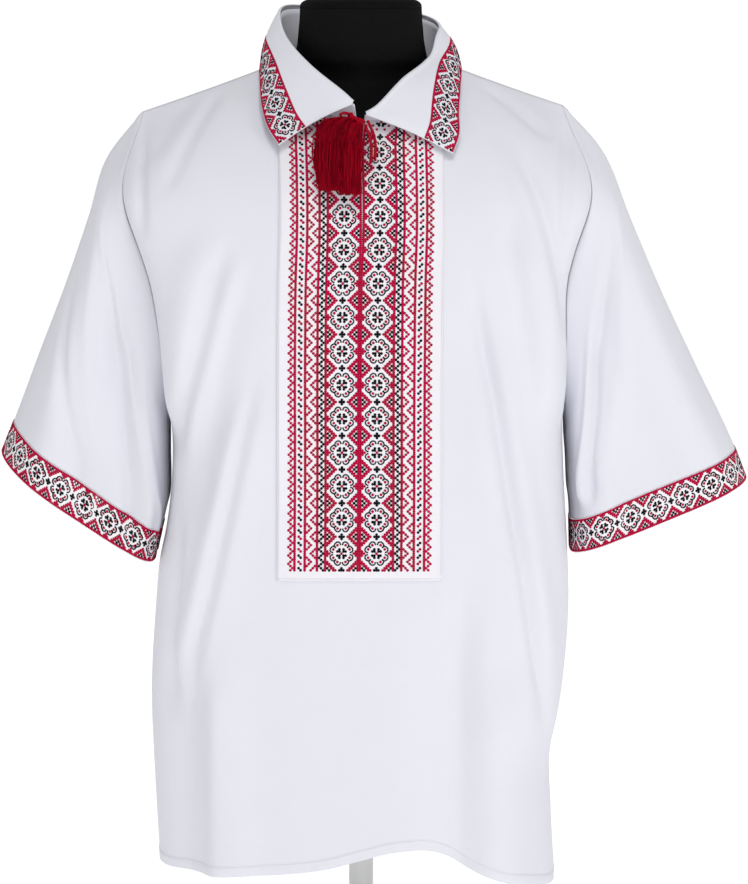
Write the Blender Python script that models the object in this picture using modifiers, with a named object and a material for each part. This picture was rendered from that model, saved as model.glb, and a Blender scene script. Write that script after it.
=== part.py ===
"""Men's embroidered shirt (vyshyvanka) on a limbless dress form with a short stand.

Metres, +Z up, the shirt's front faces -Y and the stand's underside lies on z = 0.
The shirt is cut from a front with a neck slit, a back, two short sleeves with cuff
bands, a collar stand, a collar leaf and an embroidered chest insert laid on the
front. A tie cord closes the neck and carries two tassels.

Every cloth panel is worked out as points on a grid of columns (across) and rows
(down). Panels that are sewn together share their edge points, and each is then
given its wall and drawn back from the seam by half the seam gap.
"""

import math

import bmesh
import bpy
import numpy as np
from mathutils import Vector

# ---------------------------------------------------------------- cloth sizes
WALL = 0.0016
COLLAR_WALL = 0.0018
INSERT_WALL = 0.0012
SEAM_GAP = 0.0003
LAY_GAP = 0.0006

# ---------------------------------------------------------------- mesh counts
INSERT_COLUMNS = 5
SIDE_COLUMNS = 9
YOKE_ROWS = 5
CHEST_ROWS = 14
SKIRT_ROWS = 9
ARMPIT_ROW = 8
SLEEVE_ROWS = 10
CUFF_ROWS = 2
STAND_ROWS = 2
COLLAR_COLUMNS = 30

# ------------------------------------------------------------ body key places
CHEST_LINE_Z = 0.765
CHEST_PULL = 0.10
CHEST_PROBE = 0.01
HEM_LINE_Z = 0.10
INSERT_FOOT_Z = 0.399
INSERT_HALF = 0.0825
INSERT_SHARE = 0.36
NECK_SIDE = (0.0825, 0.006, 0.9070)
NECK_FRONT = (-0.079, 0.8505)
NECK_BACK = (0.070, 0.915)
SHOULDER_TIPS = {"left": (0.2204, 0.8575), "right": (0.2034, 0.8640)}
SHOULDER_HOLLOW = 0.001
ARMHOLE_HALF_DEPTH = 0.070
ARMHOLE_SQUARENESS = 3.0
ARMPIT_Z = CHEST_LINE_Z - (CHEST_LINE_Z - INSERT_FOOT_Z) * ARMPIT_ROW / CHEST_ROWS
ARMPIT_SOFTNESS = 1.6
VENT_TOP_Z = 0.170
VENT_HEIGHT = 0.075
VENT_HALF_GAP = 0.004
SLIT_FOOT_Z = 0.560
SLIT_HALF_GAP = 0.0004
SLIT_TOP_OPENING = 0.0030
SLIT_TOP_REACH = 0.035


def table(names, rows):
    """Turn rows of numbers into one array for each named column."""
    return {name: np.array(column) for name, column in zip(names.split(), zip(*rows))}


# The side edges of the body, from the chest line to the hem.
SIDE_LINES = table("z left right", [
    (0.800, 0.2400, 0.2345),
    (0.765, 0.2390, 0.2330),
    (0.735, 0.2250, 0.2170),
    (0.690, 0.2110, 0.2070),
    (0.630, 0.2010, 0.2055),
    (0.582, 0.1960, 0.2045),
    (0.545, 0.1920, 0.2040),
    (0.480, 0.1925, 0.2062),
    (0.434, 0.1985, 0.2090),
    (0.405, 0.2045, 0.2105),
    (0.357, 0.2090, 0.2115),
    (0.253, 0.2140, 0.2015),
    (0.211, 0.2125, 0.1935),
    (0.149, 0.2095, 0.1945),
    (0.090, 0.2060, 0.1975),
])

# How far the front and back stand from the side plane, and how square a ring is.
BODY_DEPTHS = table("z front back squareness", [
    (0.765, 0.1190, 0.1130, 2.60),
    (0.690, 0.1350, 0.1210, 3.00),
    (0.560, 0.1430, 0.1190, 3.40),
    (0.399, 0.1480, 0.1210, 3.20),
    (0.250, 0.1500, 0.1250, 2.90),
    (0.090, 0.1530, 0.1290, 2.80),
])

FRONT_HEM = table("x z", [
    (-0.210, 0.0950),
    (-0.160, 0.0970),
    (-0.110, 0.1000),
    (-0.071, 0.1030),
    (-0.030, 0.1085),
    (0.000, 0.1165),
    (0.040, 0.1255),
    (0.069, 0.1255),
    (0.092, 0.1180),
    (0.110, 0.1070),
    (0.126, 0.0975),
    (0.140, 0.0915),
    (0.160, 0.0865),
    (0.195, 0.0750),
])
BACK_HEM = table("x z", [
    (-0.210, 0.0950),
    (-0.120, 0.1040),
    (0.000, 0.1010),
    (0.110, 0.1050),
    (0.195, 0.0750),
])

# How a panel leaves the shoulder and neck seams: pull along y and z at shares of
# the way from the centre line (0) to the shoulder tip (1).
FRONT_PULL = table("share y z", [
    (0.00, -0.030, -0.100),
    (0.36, -0.170, -0.060),
    (0.68, -0.160, -0.040),
    (1.00, -0.055, -0.080),
])
BACK_PULL = table("share y z", [
    (0.00, 0.040, -0.110),
    (0.36, 0.170, -0.050),
    (0.68, 0.160, -0.040),
    (1.00, 0.055, -0.080),
])

# The largest folds: a centre line from top to foot, half its width and its height
# (a trough is negative), with a bow sideways at mid length.
FOLD_COLUMNS = "x_top z_top x_foot z_foot half_width height bow"
FRONT_FOLDS = table(FOLD_COLUMNS, [
    (-0.150, 0.760, -0.176, 0.520, 0.020, 0.0070, -0.012),
    (-0.118, 0.720, -0.165, 0.430, 0.022, -0.0070, -0.008),
    (-0.098, 0.610, -0.180, 0.240, 0.025, 0.0090, 0.000),
    (-0.168, 0.350, -0.160, 0.040, 0.017, -0.0070, 0.000),
    (-0.134, 0.360, -0.126, 0.040, 0.021, 0.0080, 0.000),
    (0.150, 0.760, 0.188, 0.540, 0.020, 0.0070, 0.012),
    (0.118, 0.720, 0.158, 0.400, 0.022, -0.0070, 0.008),
    (0.105, 0.640, 0.178, 0.180, 0.025, 0.0095, 0.008),
    (0.084, 0.380, 0.086, 0.030, 0.026, -0.0090, 0.000),
    (0.145, 0.320, 0.146, 0.030, 0.022, 0.0105, 0.000),
])
BACK_FOLDS = table(FOLD_COLUMNS, [
    (-0.120, 0.790, -0.174, 0.480, 0.022, 0.0080, -0.010),
    (-0.084, 0.660, -0.132, 0.030, 0.028, -0.0100, 0.006),
    (-0.042, 0.620, -0.078, 0.030, 0.026, 0.0095, 0.000),
    (0.012, 0.580, 0.000, 0.030, 0.028, -0.0085, 0.004),
    (0.060, 0.660, 0.070, 0.030, 0.026, 0.0100, 0.000),
    (0.110, 0.640, 0.128, 0.030, 0.024, -0.0090, 0.000),
    (0.125, 0.790, 0.180, 0.500, 0.022, 0.0080, 0.010),
])

# --------------------------------------------------------------- sleeve sizes
SLEEVE_SQUARENESS = 3.0
CUFF_EDGE_SHARE = 1.10
# Rings down each sleeve: share 0 is the armhole, 1 the cuff seam, 1.1 the open edge.
SLEEVE_COLUMNS = "share out_x out_z in_x in_z half_depth sag"
SLEEVE_RINGS = {
    "left": table(SLEEVE_COLUMNS, [
        (0.00, 0.2204, 0.8575, 0.1935, ARMPIT_Z, 0.0700, 0.000),
        (0.15, 0.2590, 0.8070, 0.1945, 0.5400, 0.0720, 0.000),
        (0.28, 0.2745, 0.7560, 0.1942, 0.5270, 0.0735, 0.000),
        (0.42, 0.2935, 0.7000, 0.1942, 0.5120, 0.0750, 0.000),
        (0.72, 0.3280, 0.6100, 0.1948, 0.4700, 0.0755, 0.004),
        (1.00, 0.3535, 0.5430, 0.2030, 0.4400, 0.0755, 0.017),
        (CUFF_EDGE_SHARE, 0.3665, 0.5105, 0.2107, 0.4075, 0.0760, 0.021),
    ]),
    "right": table(SLEEVE_COLUMNS, [
        (0.00, 0.2034, 0.8640, 0.2040, ARMPIT_Z, 0.0700, 0.000),
        (0.15, 0.2475, 0.8125, 0.2060, 0.5400, 0.0720, 0.000),
        (0.28, 0.2730, 0.7500, 0.2065, 0.5270, 0.0735, 0.000),
        (0.42, 0.2985, 0.6900, 0.2078, 0.5120, 0.0750, 0.000),
        (0.72, 0.3400, 0.6010, 0.2095, 0.4780, 0.0755, 0.001),
        (1.00, 0.3805, 0.5160, 0.2125, 0.4440, 0.0755, 0.000),
        (CUFF_EDGE_SHARE, 0.3925, 0.4850, 0.2135, 0.4105, 0.0760, 0.003),
    ]),
}
# Sleeve folds: place round the sleeve in degrees from its top edge (the front is
# positive), half its width in degrees, where it starts and ends, and its height.
SLEEVE_FOLD_COLUMNS = "angle half_angle start end height"
SLEEVE_FOLDS = table(SLEEVE_FOLD_COLUMNS, [
    (58.0, 17.0, 0.10, 1.16, 0.0065),
    (94.0, 16.0, 0.12, 1.14, -0.0075),
    (128.0, 16.0, 0.10, 1.16, 0.0060),
    (-58.0, 17.0, 0.10, 1.16, 0.0065),
    (-92.0, 16.0, 0.12, 1.14, -0.0075),
    (-130.0, 16.0, 0.10, 1.16, 0.0060),
])

# --------------------------------------------------------------- collar sizes
# Stations round the collar from its left front end over the back to its right
# front end: the roll line, then the outer edge of the leaf.
COLLAR_STATIONS = table("share roll_x roll_y roll_z edge_x edge_y edge_z", [
    (0.000, -0.0070, -0.0900, 0.8690, -0.0815, -0.0960, 0.8290),
    (0.060, -0.0180, -0.0850, 0.8785, -0.0925, -0.0830, 0.8450),
    (0.130, -0.0500, -0.0620, 0.9028, -0.0990, -0.0620, 0.8640),
    (0.220, -0.0770, -0.0200, 0.9320, -0.1015, -0.0300, 0.8885),
    (0.300, -0.0820, 0.0200, 0.9560, -0.1010, 0.0080, 0.9020),
    (0.400, -0.0560, 0.0650, 0.9590, -0.0800, 0.0520, 0.8970),
    (0.500, 0.0000, 0.0780, 0.9560, 0.0000, 0.0930, 0.9000),
    (0.600, 0.0560, 0.0650, 0.9510, 0.0800, 0.0520, 0.8970),
    (0.700, 0.0800, 0.0200, 0.9400, 0.1010, 0.0080, 0.9020),
    (0.760, 0.0765, -0.0080, 0.9290, 0.1012, -0.0205, 0.8930),
    (0.795, 0.0715, -0.0270, 0.9130, 0.1005, -0.0360, 0.8860),
    (0.820, 0.0640, -0.0400, 0.9055, 0.1000, -0.0455, 0.8785),
    (0.870, 0.0440, -0.0640, 0.8915, 0.0985, -0.0640, 0.8610),
    (0.940, 0.0180, -0.0860, 0.8660, 0.0985, -0.0850, 0.8385),
    (1.000, 0.0050, -0.0900, 0.8580, 0.0920, -0.0960, 0.8205),
])
ROLL_RADIUS = 0.0035
STAND_DROP = 0.0014
ROLL_ANGLES = (100.0, 50.0, 5.0)
LEAF_ROWS = 4
LEAF_CROWN = 0.004

# ------------------------------------------------------------ tie and tassels
KNOT_PLACE = (-0.0015, -0.0930, 0.8515)
KNOT_SIZE = (0.0065, 0.0050, 0.0048)
CORD_RADIUS = 0.0017
CORD_ENDS = {
    "tie_end_near": [(0.0050, -0.0973, 0.8492), (0.0064, -0.1000, 0.8435),
                     (0.0094, -0.1045, 0.8350), (0.0108, -0.1080, 0.8230),
                     (0.0098, -0.1105, 0.8110)],
    "tie_end_far": [(0.0068, -0.0944, 0.8530), (0.0100, -0.0968, 0.8465),
                    (0.0136, -0.1005, 0.8370), (0.0148, -0.1040, 0.8260),
                    (0.0140, -0.1070, 0.8150)],
}
CORD_POINTS = 12
LEAD_POINTS = 7
TASSELS = table("head_x head_y head_z head_radius foot_x foot_y foot_z foot_rx foot_ry", [
    (-0.0200, -0.0970, 0.8460, 0.0100, -0.0345, -0.1280, 0.7850, 0.0132, 0.0100),
    (-0.0045, -0.0966, 0.8345, 0.0085, -0.0098, -0.1285, 0.7840, 0.0105, 0.0100),
])
# How the strands fall: how far each section has spread and swayed to its foot.
TASSEL_FALL = table("share spread sway_x sway_y", [
    (0.10, 0.80, 0.72, 0.15),
    (0.28, 0.97, 0.92, 0.40),
    (0.62, 1.02, 1.00, 0.74),
    (1.00, 1.00, 1.00, 1.00),
])
TASSEL_LEADS = (
    [(-0.0015, -0.0930, 0.8515), (-0.0080, -0.0950, 0.8575), (-0.0150, -0.0965, 0.8605),
     (-0.0195, -0.0970, 0.8595), (-0.0202, -0.0970, 0.8573)],
    [(-0.0015, -0.0930, 0.8515), (-0.0030, -0.0955, 0.8490), (-0.0042, -0.0966, 0.8470),
     (-0.0045, -0.0966, 0.8452)],
)
TASSEL_NAMES = ("tassel_left", "tassel_right")
TASSEL_CELLS = 5
TASSEL_UNEVEN = 0.0025
TASSEL_HEAD_HEIGHT = 0.010

# ------------------------------------------------------- dress form and stand
FORM_SIDES = 28
FORM_RINGS = table("z half_width front back squareness", [
    (0.175, 0.060, 0.045, 0.045, 2.0),
    (0.180, 0.125, 0.082, 0.078, 2.1),
    (0.195, 0.152, 0.100, 0.094, 2.2),
    (0.240, 0.164, 0.109, 0.104, 2.2),
    (0.320, 0.160, 0.108, 0.103, 2.2),
    (0.430, 0.146, 0.104, 0.092, 2.2),
    (0.540, 0.152, 0.112, 0.094, 2.2),
    (0.650, 0.167, 0.119, 0.102, 2.25),
    (0.730, 0.178, 0.114, 0.102, 2.3),
    (0.790, 0.187, 0.099, 0.093, 2.1),
    (0.832, 0.188, 0.080, 0.081, 1.80),
    (0.852, 0.184, 0.066, 0.072, 1.45),
    (0.8656, 0.171, 0.053, 0.064, 1.22),
    (0.8782, 0.144, 0.046, 0.059, 1.12),
    (0.8909, 0.112, 0.042, 0.056, 1.08),
    (0.9010, 0.082, 0.044, 0.056, 1.20),
    (0.911, 0.067, 0.052, 0.057, 1.75),
    (0.927, 0.064, 0.057, 0.058, 2.0),
    (0.950, 0.062, 0.058, 0.058, 2.0),
    (0.962, 0.0615, 0.058, 0.058, 2.0),
])
FORM_NECK_RING = 16
NECK_CAP_RISE = 0.012
NECK_CAP_EDGE = 0.003
POLE_RADIUS = 0.0125
FLANGE_RADIUS = 0.045
FLANGE_HEIGHT = 0.006
BASE_RADIUS = 0.140
BASE_HEIGHT = 0.012
BASE_EDGE = 0.004
HUB_RADIUS = 0.024
HUB_HEIGHT = 0.026


# -------------------------------------------------------------------- helpers
def smooth(at, knots, values):
    """Cubic curve through a table's values, with slopes from their neighbours."""
    slopes = np.gradient(values, knots)
    index = np.clip(np.searchsorted(knots, at) - 1, 0, len(knots) - 2)
    step = knots[index + 1] - knots[index]
    t = np.clip((at - knots[index]) / step, 0.0, 1.0)
    rise = values[index + 1] - values[index]
    start = slopes[index] * step
    end = slopes[index + 1] * step
    return (values[index] + start * t + (3 * rise - 2 * start - end) * t ** 2
            + (start + end - 2 * rise) * t ** 3)


def by_height(at, rows, name):
    """Read a column of a table that runs from the top down, at heights."""
    return smooth(at, rows["z"][::-1], rows[name][::-1])


def soft_step(value):
    """Ease from 0 to 1."""
    t = np.clip(value, 0.0, 1.0)
    return t * t * (3.0 - 2.0 * t)


def hermite(start, end, leave, arrive, t):
    """Curves from start to end that leave and arrive along given pulls."""
    return (start * (2 * t ** 3 - 3 * t ** 2 + 1) + end * (3 * t ** 2 - 2 * t ** 3)
            + leave * (t ** 3 - 2 * t ** 2 + t) + arrive * (t ** 3 - t ** 2))


def stack(x, y, z):
    """Join three coordinate arrays as points."""
    return np.stack(np.broadcast_arrays(x, y, z), axis=-1).astype(float)


def grid_normals(points):
    """Unit normals of a grid, from its differences across and down."""
    across = np.gradient(points, axis=1)
    down = np.gradient(points, axis=0)
    normals = np.cross(down, across)
    return normals / np.linalg.norm(normals, axis=-1, keepdims=True)


def fold_relief(x, z, folds):
    """Height of all folds at places x, z: a soft ridge or trough for each row."""
    relief = np.zeros(np.broadcast(x, z).shape)
    for row in range(len(folds["height"])):
        fold = {name: column[row] for name, column in folds.items()}
        t = (fold["z_top"] - z) / (fold["z_top"] - fold["z_foot"])
        centre = fold["x_top"] + (fold["x_foot"] - fold["x_top"]) * t
        centre = centre + fold["bow"] * np.sin(math.pi * np.clip(t, 0.0, 1.0))
        across = np.exp(-((x - centre) / fold["half_width"]) ** 2)
        relief += fold["height"] * across * soft_step(t * 4.0) * soft_step((1.0 - t) * 4.0)
    return relief


# ---------------------------------------------------------------- body panels
def armhole_depth(z, share):
    """How far cloth stands from the side plane: a rounded oblong armhole, and a vent.

    The armhole closes sharply at the edge itself (share 1) and more and more softly
    further in.
    """
    top = SHOULDER_TIPS["left"][1]
    middle = (top + ARMPIT_Z) / 2
    inside = 1.0 - np.abs((z - middle) / (top - middle)) ** ARMHOLE_SQUARENESS
    soft = ARMPIT_SOFTNESS * np.clip(1.0 - share, 0.0, 1.0)
    inside = (inside + np.sqrt(inside ** 2 + soft ** 2)) / 2
    vent = np.clip((VENT_TOP_Z - z) / VENT_HEIGHT, 0.0, 1.0)
    return ARMHOLE_HALF_DEPTH * inside ** (1 / ARMHOLE_SQUARENESS) + VENT_HALF_GAP * vent


def slit_opening(z):
    """Half the width of the neck slit: open at the collar, closed lower down."""
    down = (NECK_FRONT[1] - z) / SLIT_TOP_REACH
    return SLIT_HALF_GAP + SLIT_TOP_OPENING * (1.0 - soft_step(down))


def body_ring(columns, z, side, hand):
    """Points of a ring at heights z: flat over the insert, then round to the side."""
    half = by_height(z, SIDE_LINES, hand)
    depth = by_height(z, BODY_DEPTHS, side)
    power = by_height(z, BODY_DEPTHS, "squareness")
    share = np.abs(columns)
    edge = armhole_depth(z, share)
    insert_angle = np.arccos((INSERT_HALF / half) ** (power / 2))
    angle = insert_angle * (1.0 - share) / (1.0 - INSERT_SHARE)
    flat_x = INSERT_HALF * share / INSERT_SHARE
    round_x = half * np.cos(np.clip(angle, 0.0, math.pi / 2)) ** (2 / power)
    x = np.where(share <= INSERT_SHARE, flat_x, round_x)
    reach = np.clip(1.0 - (x / half) ** power, 0.0, 1.0) ** (1 / power)
    y = edge + (depth - edge) * reach
    return hand_points(x, y, z, side, hand)


def hand_points(x, y, z, side, hand):
    """Set the signs of a half panel: left is -x, and the front is -y."""
    across = -1.0 if hand == "left" else 1.0
    out = -1.0 if side == "front" else 1.0
    return stack(across * x, out * y, z)


def neck_and_shoulder(columns, side, hand):
    """The top edge: the neck curve over the insert's share, then the shoulder seam."""
    share = np.abs(columns)
    angle = np.clip(share / INSERT_SHARE, 0.0, 1.0) * math.pi / 2
    along = np.clip((share - INSERT_SHARE) / (1.0 - INSERT_SHARE), 0.0, 1.0)
    tip_x, tip_z = SHOULDER_TIPS[hand]
    centre_y, centre_z = NECK_FRONT if side == "front" else NECK_BACK
    x = NECK_SIDE[0] * np.sin(angle) + (tip_x - NECK_SIDE[0]) * along
    y = NECK_SIDE[1] * (1.0 - along) + (centre_y - NECK_SIDE[1]) * np.cos(angle)
    hollow = SHOULDER_HOLLOW * np.sin(math.pi * along)
    z = NECK_SIDE[2] + (centre_z - NECK_SIDE[2]) * np.cos(angle) ** 1.5
    z = z + (tip_z - NECK_SIDE[2]) * along - hollow
    across = -1.0 if hand == "left" else 1.0
    return stack(across * x, y, z)


def body_grid(columns, yoke_steps, chest_steps, skirt_steps, side, hand):
    """One half of the front or back, from the neck and shoulder down to the hem."""
    top = neck_and_shoulder(columns, side, hand)[None]
    chest_z = np.full_like(columns, CHEST_LINE_Z)
    chest = body_ring(columns, chest_z, side, hand)[None]
    lower = body_ring(columns, chest_z - CHEST_PROBE, side, hand)[None]
    arrive = (lower - chest) / CHEST_PROBE * CHEST_PULL
    pull = FRONT_PULL if side == "front" else BACK_PULL
    share = np.abs(columns)
    leave = stack(0.0, smooth(share, pull["share"], pull["y"]),
                  smooth(share, pull["share"], pull["z"]))[None]
    t = yoke_steps[:, None, None]
    yoke = hermite(top, chest, leave, arrive, t)

    chest_rows = CHEST_LINE_Z + (INSERT_FOOT_Z - CHEST_LINE_Z) * chest_steps[1:, None]
    wide_columns = np.broadcast_to(columns, (len(chest_rows), len(columns)))
    middle = body_ring(wide_columns, chest_rows + 0 * wide_columns, side, hand)

    hem = FRONT_HEM if side == "front" else BACK_HEM
    foot = body_ring(columns, np.full_like(columns, HEM_LINE_Z), side, hand)[:, 0]
    hem_z = smooth(foot, hem["x"], hem["z"])
    skirt_z = INSERT_FOOT_Z + (hem_z - INSERT_FOOT_Z) * skirt_steps[1:, None]
    wide_columns = np.broadcast_to(columns, skirt_z.shape)
    skirt = body_ring(wide_columns, skirt_z, side, hand)

    return np.concatenate([yoke, middle, skirt])


def add_folds(points, columns, side):
    """Raise the folds out of a whole panel, dying away at its side edges."""
    folds = FRONT_FOLDS if side == "front" else BACK_FOLDS
    relief = fold_relief(points[..., 0], points[..., 2], folds)
    relief = relief * soft_step((1.0 - np.abs(columns)) * 5.0)
    facing = 1.0 if side == "front" else -1.0
    return points + grid_normals(points) * (facing * relief)[..., None]


def open_slit(half, columns, hand):
    """Draw a half of the front back from the centre line, down to the slit's foot."""
    across = -1.0 if hand == "left" else 1.0
    inner = np.clip(1.0 - np.abs(columns) / INSERT_SHARE, 0.0, 1.0)
    open_rows = half[..., 2] > SLIT_FOOT_Z
    half[..., 0] += across * slit_opening(half[..., 2]) * inner * open_rows
    return half


def body_columns(hand):
    """Column shares of a half panel, from its outer edge to the centre or back."""
    insert = np.linspace(0.0, INSERT_SHARE, INSERT_COLUMNS + 1)
    outer = np.linspace(INSERT_SHARE, 1.0, SIDE_COLUMNS + 1)[1:]
    shares = np.concatenate([insert, outer])
    return -shares[::-1] if hand == "left" else shares


def body_panel(side):
    """Both halves of the front or back as grids, left one first."""
    steps = (np.linspace(0, 1, YOKE_ROWS + 1), np.linspace(0, 1, CHEST_ROWS + 1),
             np.linspace(0, 1, SKIRT_ROWS + 1))
    left, right = (body_columns(hand) for hand in ("left", "right"))
    whole = np.concatenate([body_grid(left, *steps, side, "left"),
                            body_grid(right, *steps, side, "right")[:, 1:]], axis=1)
    whole = add_folds(whole, np.concatenate([left, right[1:]]), side)
    centre = len(left) - 1
    halves = [whole[:, :centre + 1].copy(), whole[:, centre:].copy()]
    if side == "front":
        halves = [open_slit(halves[0], left, "left"), open_slit(halves[1], right, "right")]
    return halves


# -------------------------------------------------------------------- sleeves
def sleeve_ring(angle, share, hand):
    """Points of the sleeve's own rings, at angles from the top edge round the front."""
    rings = SLEEVE_RINGS[hand]
    value = {name: smooth(share, rings["share"], rings[name]) for name in rings}
    along = (1.0 - squared(np.cos(angle))) / 2
    chord_x = value["in_x"] - value["out_x"]
    chord_z = value["in_z"] - value["out_z"]
    length = np.hypot(chord_x, chord_z)
    sag = value["sag"] * np.abs(np.sin(angle))
    x = value["out_x"] + chord_x * along + sag * chord_z / length
    z = value["out_z"] + chord_z * along + sag * chord_x / length
    y = -value["half_depth"] * squared(np.sin(angle))
    across = -1.0 if hand == "left" else 1.0
    return stack(across * x, y, z)


def squared(value):
    """Push a sine or cosine out, so that a ring is squarer than an ellipse."""
    return np.sign(value) * np.abs(value) ** (2 / SLEEVE_SQUARENESS)


def sleeve_relief(angle, share, folds):
    """Height of the sleeve's folds at angles and shares of its length."""
    relief = np.zeros(np.broadcast(angle, share).shape)
    for row in range(len(folds["height"])):
        fold = {name: column[row] for name, column in folds.items()}
        turn = np.degrees(angle) - fold["angle"]
        turn = (turn + 180.0) % 360.0 - 180.0
        across = np.exp(-(turn / fold["half_angle"]) ** 2)
        t = (share - fold["start"]) / (fold["end"] - fold["start"])
        relief += fold["height"] * across * soft_step(t * 3.0) * soft_step((1.0 - t) * 6.0)
    return relief


def sleeve_grid(front_edge, back_edge, steps, hand):
    """A closed sleeve from its armhole points down to the cuff's seam or edge."""
    loop = np.concatenate([front_edge, back_edge[::-1][1:-1]])
    rings = SLEEVE_RINGS[hand]
    out_z, in_z = rings["out_z"][0], rings["in_z"][0]
    along = np.clip((out_z - loop[:, 2]) / (out_z - in_z), 0.0, 1.0)
    lean = 1.0 - 2.0 * along
    seam_angle = np.arccos(np.sign(lean) * np.abs(lean) ** (SLEEVE_SQUARENESS / 2))
    seam_angle[len(front_edge):] = 2 * math.pi - seam_angle[len(front_edge):]
    even_angle = np.linspace(0.0, 2 * math.pi, len(loop), endpoint=False)
    share = steps[:, None]
    angle = seam_angle + (even_angle - seam_angle) * soft_step(share * 1.5)
    points = sleeve_ring(angle, share + 0 * angle, hand)
    seam_error = loop - sleeve_ring(seam_angle, np.zeros_like(seam_angle), hand)
    fade = (1.0 - soft_step(share * 2.5))[..., None]
    relief = sleeve_relief(angle, share, SLEEVE_FOLDS)[..., None]
    centre = points.mean(axis=1, keepdims=True)
    out = points - centre
    out = out / np.linalg.norm(out, axis=-1, keepdims=True)
    return points + seam_error[None] * fade + out * relief


# --------------------------------------------------------------------- collar
def neck_path(front, back):
    """Neck seam points from the left slit edge over the back to the right slit edge."""
    left, right = INSERT_COLUMNS, INSERT_COLUMNS + 1
    front_left = front[0][0][-right:][::-1]
    back_left = back[0][0][-left:]
    back_right = back[1][0][1:right]
    front_right = front[1][0][:left][::-1]
    return np.concatenate([front_left, back_left, back_right, front_right])


def collar_curve(share, kind):
    """Points of the roll line or of the leaf's outer edge, at shares round the neck."""
    knots = COLLAR_STATIONS["share"]
    return stack(*(smooth(share, knots, COLLAR_STATIONS[f"{kind}_{axis}"]) for axis in "xyz"))


def path_shares(path):
    """Share of the length at each point of a path."""
    steps = np.linalg.norm(np.diff(path, axis=0), axis=1)
    length = np.concatenate([[0.0], np.cumsum(steps)])
    return length / length[-1]


def stand_grid(neck):
    """The collar stand, from the neck seam up to just under the roll line."""
    share = path_shares(neck)
    roll = collar_curve(share, "roll") - np.array([0.0, 0.0, STAND_DROP])
    t = np.linspace(0.0, 1.0, STAND_ROWS + 1)[:, None, None]
    return roll[None] * (1.0 - t) + neck[None] * t


def leaf_grid():
    """The collar leaf: over the roll, then down to the outer edge with a slight crown."""
    share = np.linspace(0.0, 1.0, COLLAR_COLUMNS + 1)
    roll = collar_curve(share, "roll")
    edge = collar_curve(share, "edge")
    tangent = np.gradient(roll, axis=0)
    tangent[:, 2] = 0.0
    tangent = tangent / np.linalg.norm(tangent, axis=1, keepdims=True)
    outward = np.cross(np.array([0.0, 0.0, 1.0]), tangent)
    up = np.array([0.0, 0.0, 1.0])
    core = roll - outward * COLLAR_WALL / 2
    rows = []
    for degrees in ROLL_ANGLES:
        turn = math.radians(degrees)
        rows.append(core + (outward * math.cos(turn) + up * math.sin(turn)) * ROLL_RADIUS)
    start = rows[-1]
    fall = edge - start
    slope = np.cross(tangent, fall)
    slope = slope / np.linalg.norm(slope, axis=1, keepdims=True)
    slope = slope * np.sign(slope[:, 2:3])
    for t in np.linspace(0.0, 1.0, LEAF_ROWS + 1)[1:]:
        rows.append(start + fall * t + slope * LEAF_CROWN * math.sin(math.pi * t))
    return np.array(rows)


# ------------------------------------------------------- from grids to solids
def merged_surface(grids, closed):
    """Join grids into one open surface: its points and its triangles, facing out."""
    mesh = bmesh.new()
    for points in grids:
        rows, columns = points.shape[:2]
        corners = [[mesh.verts.new(place) for place in row] for row in points]
        last = columns if closed else columns - 1
        for row in range(rows - 1):
            for column in range(last):
                nxt = (column + 1) % columns
                a, b = corners[row][column], corners[row + 1][column]
                c, d = corners[row + 1][nxt], corners[row][nxt]
                mesh.faces.new((a, b, c))
                mesh.faces.new((a, c, d))
    bmesh.ops.remove_doubles(mesh, verts=mesh.verts, dist=1e-6)
    mesh.verts.index_update()
    points = np.array([vert.co for vert in mesh.verts])
    triangles = np.array([[vert.index for vert in face.verts] for face in mesh.faces])
    mesh.free()
    return points, triangles


def point_normals(points, triangles):
    """Unit normals at the points, from the triangles round each."""
    a, b, c = (points[triangles[:, corner]] for corner in range(3))
    face_normals = np.cross(b - a, c - a)
    normals = np.zeros_like(points)
    for corner in range(3):
        np.add.at(normals, triangles[:, corner], face_normals)
    return normals / np.linalg.norm(normals, axis=1, keepdims=True)


def rim_edges(triangles):
    """Directed edges that only one triangle has."""
    edges = np.concatenate([triangles[:, [0, 1]], triangles[:, [1, 2]], triangles[:, [2, 0]]])
    known = {tuple(edge) for edge in edges}
    return [edge for edge in known if (edge[1], edge[0]) not in known]


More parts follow.
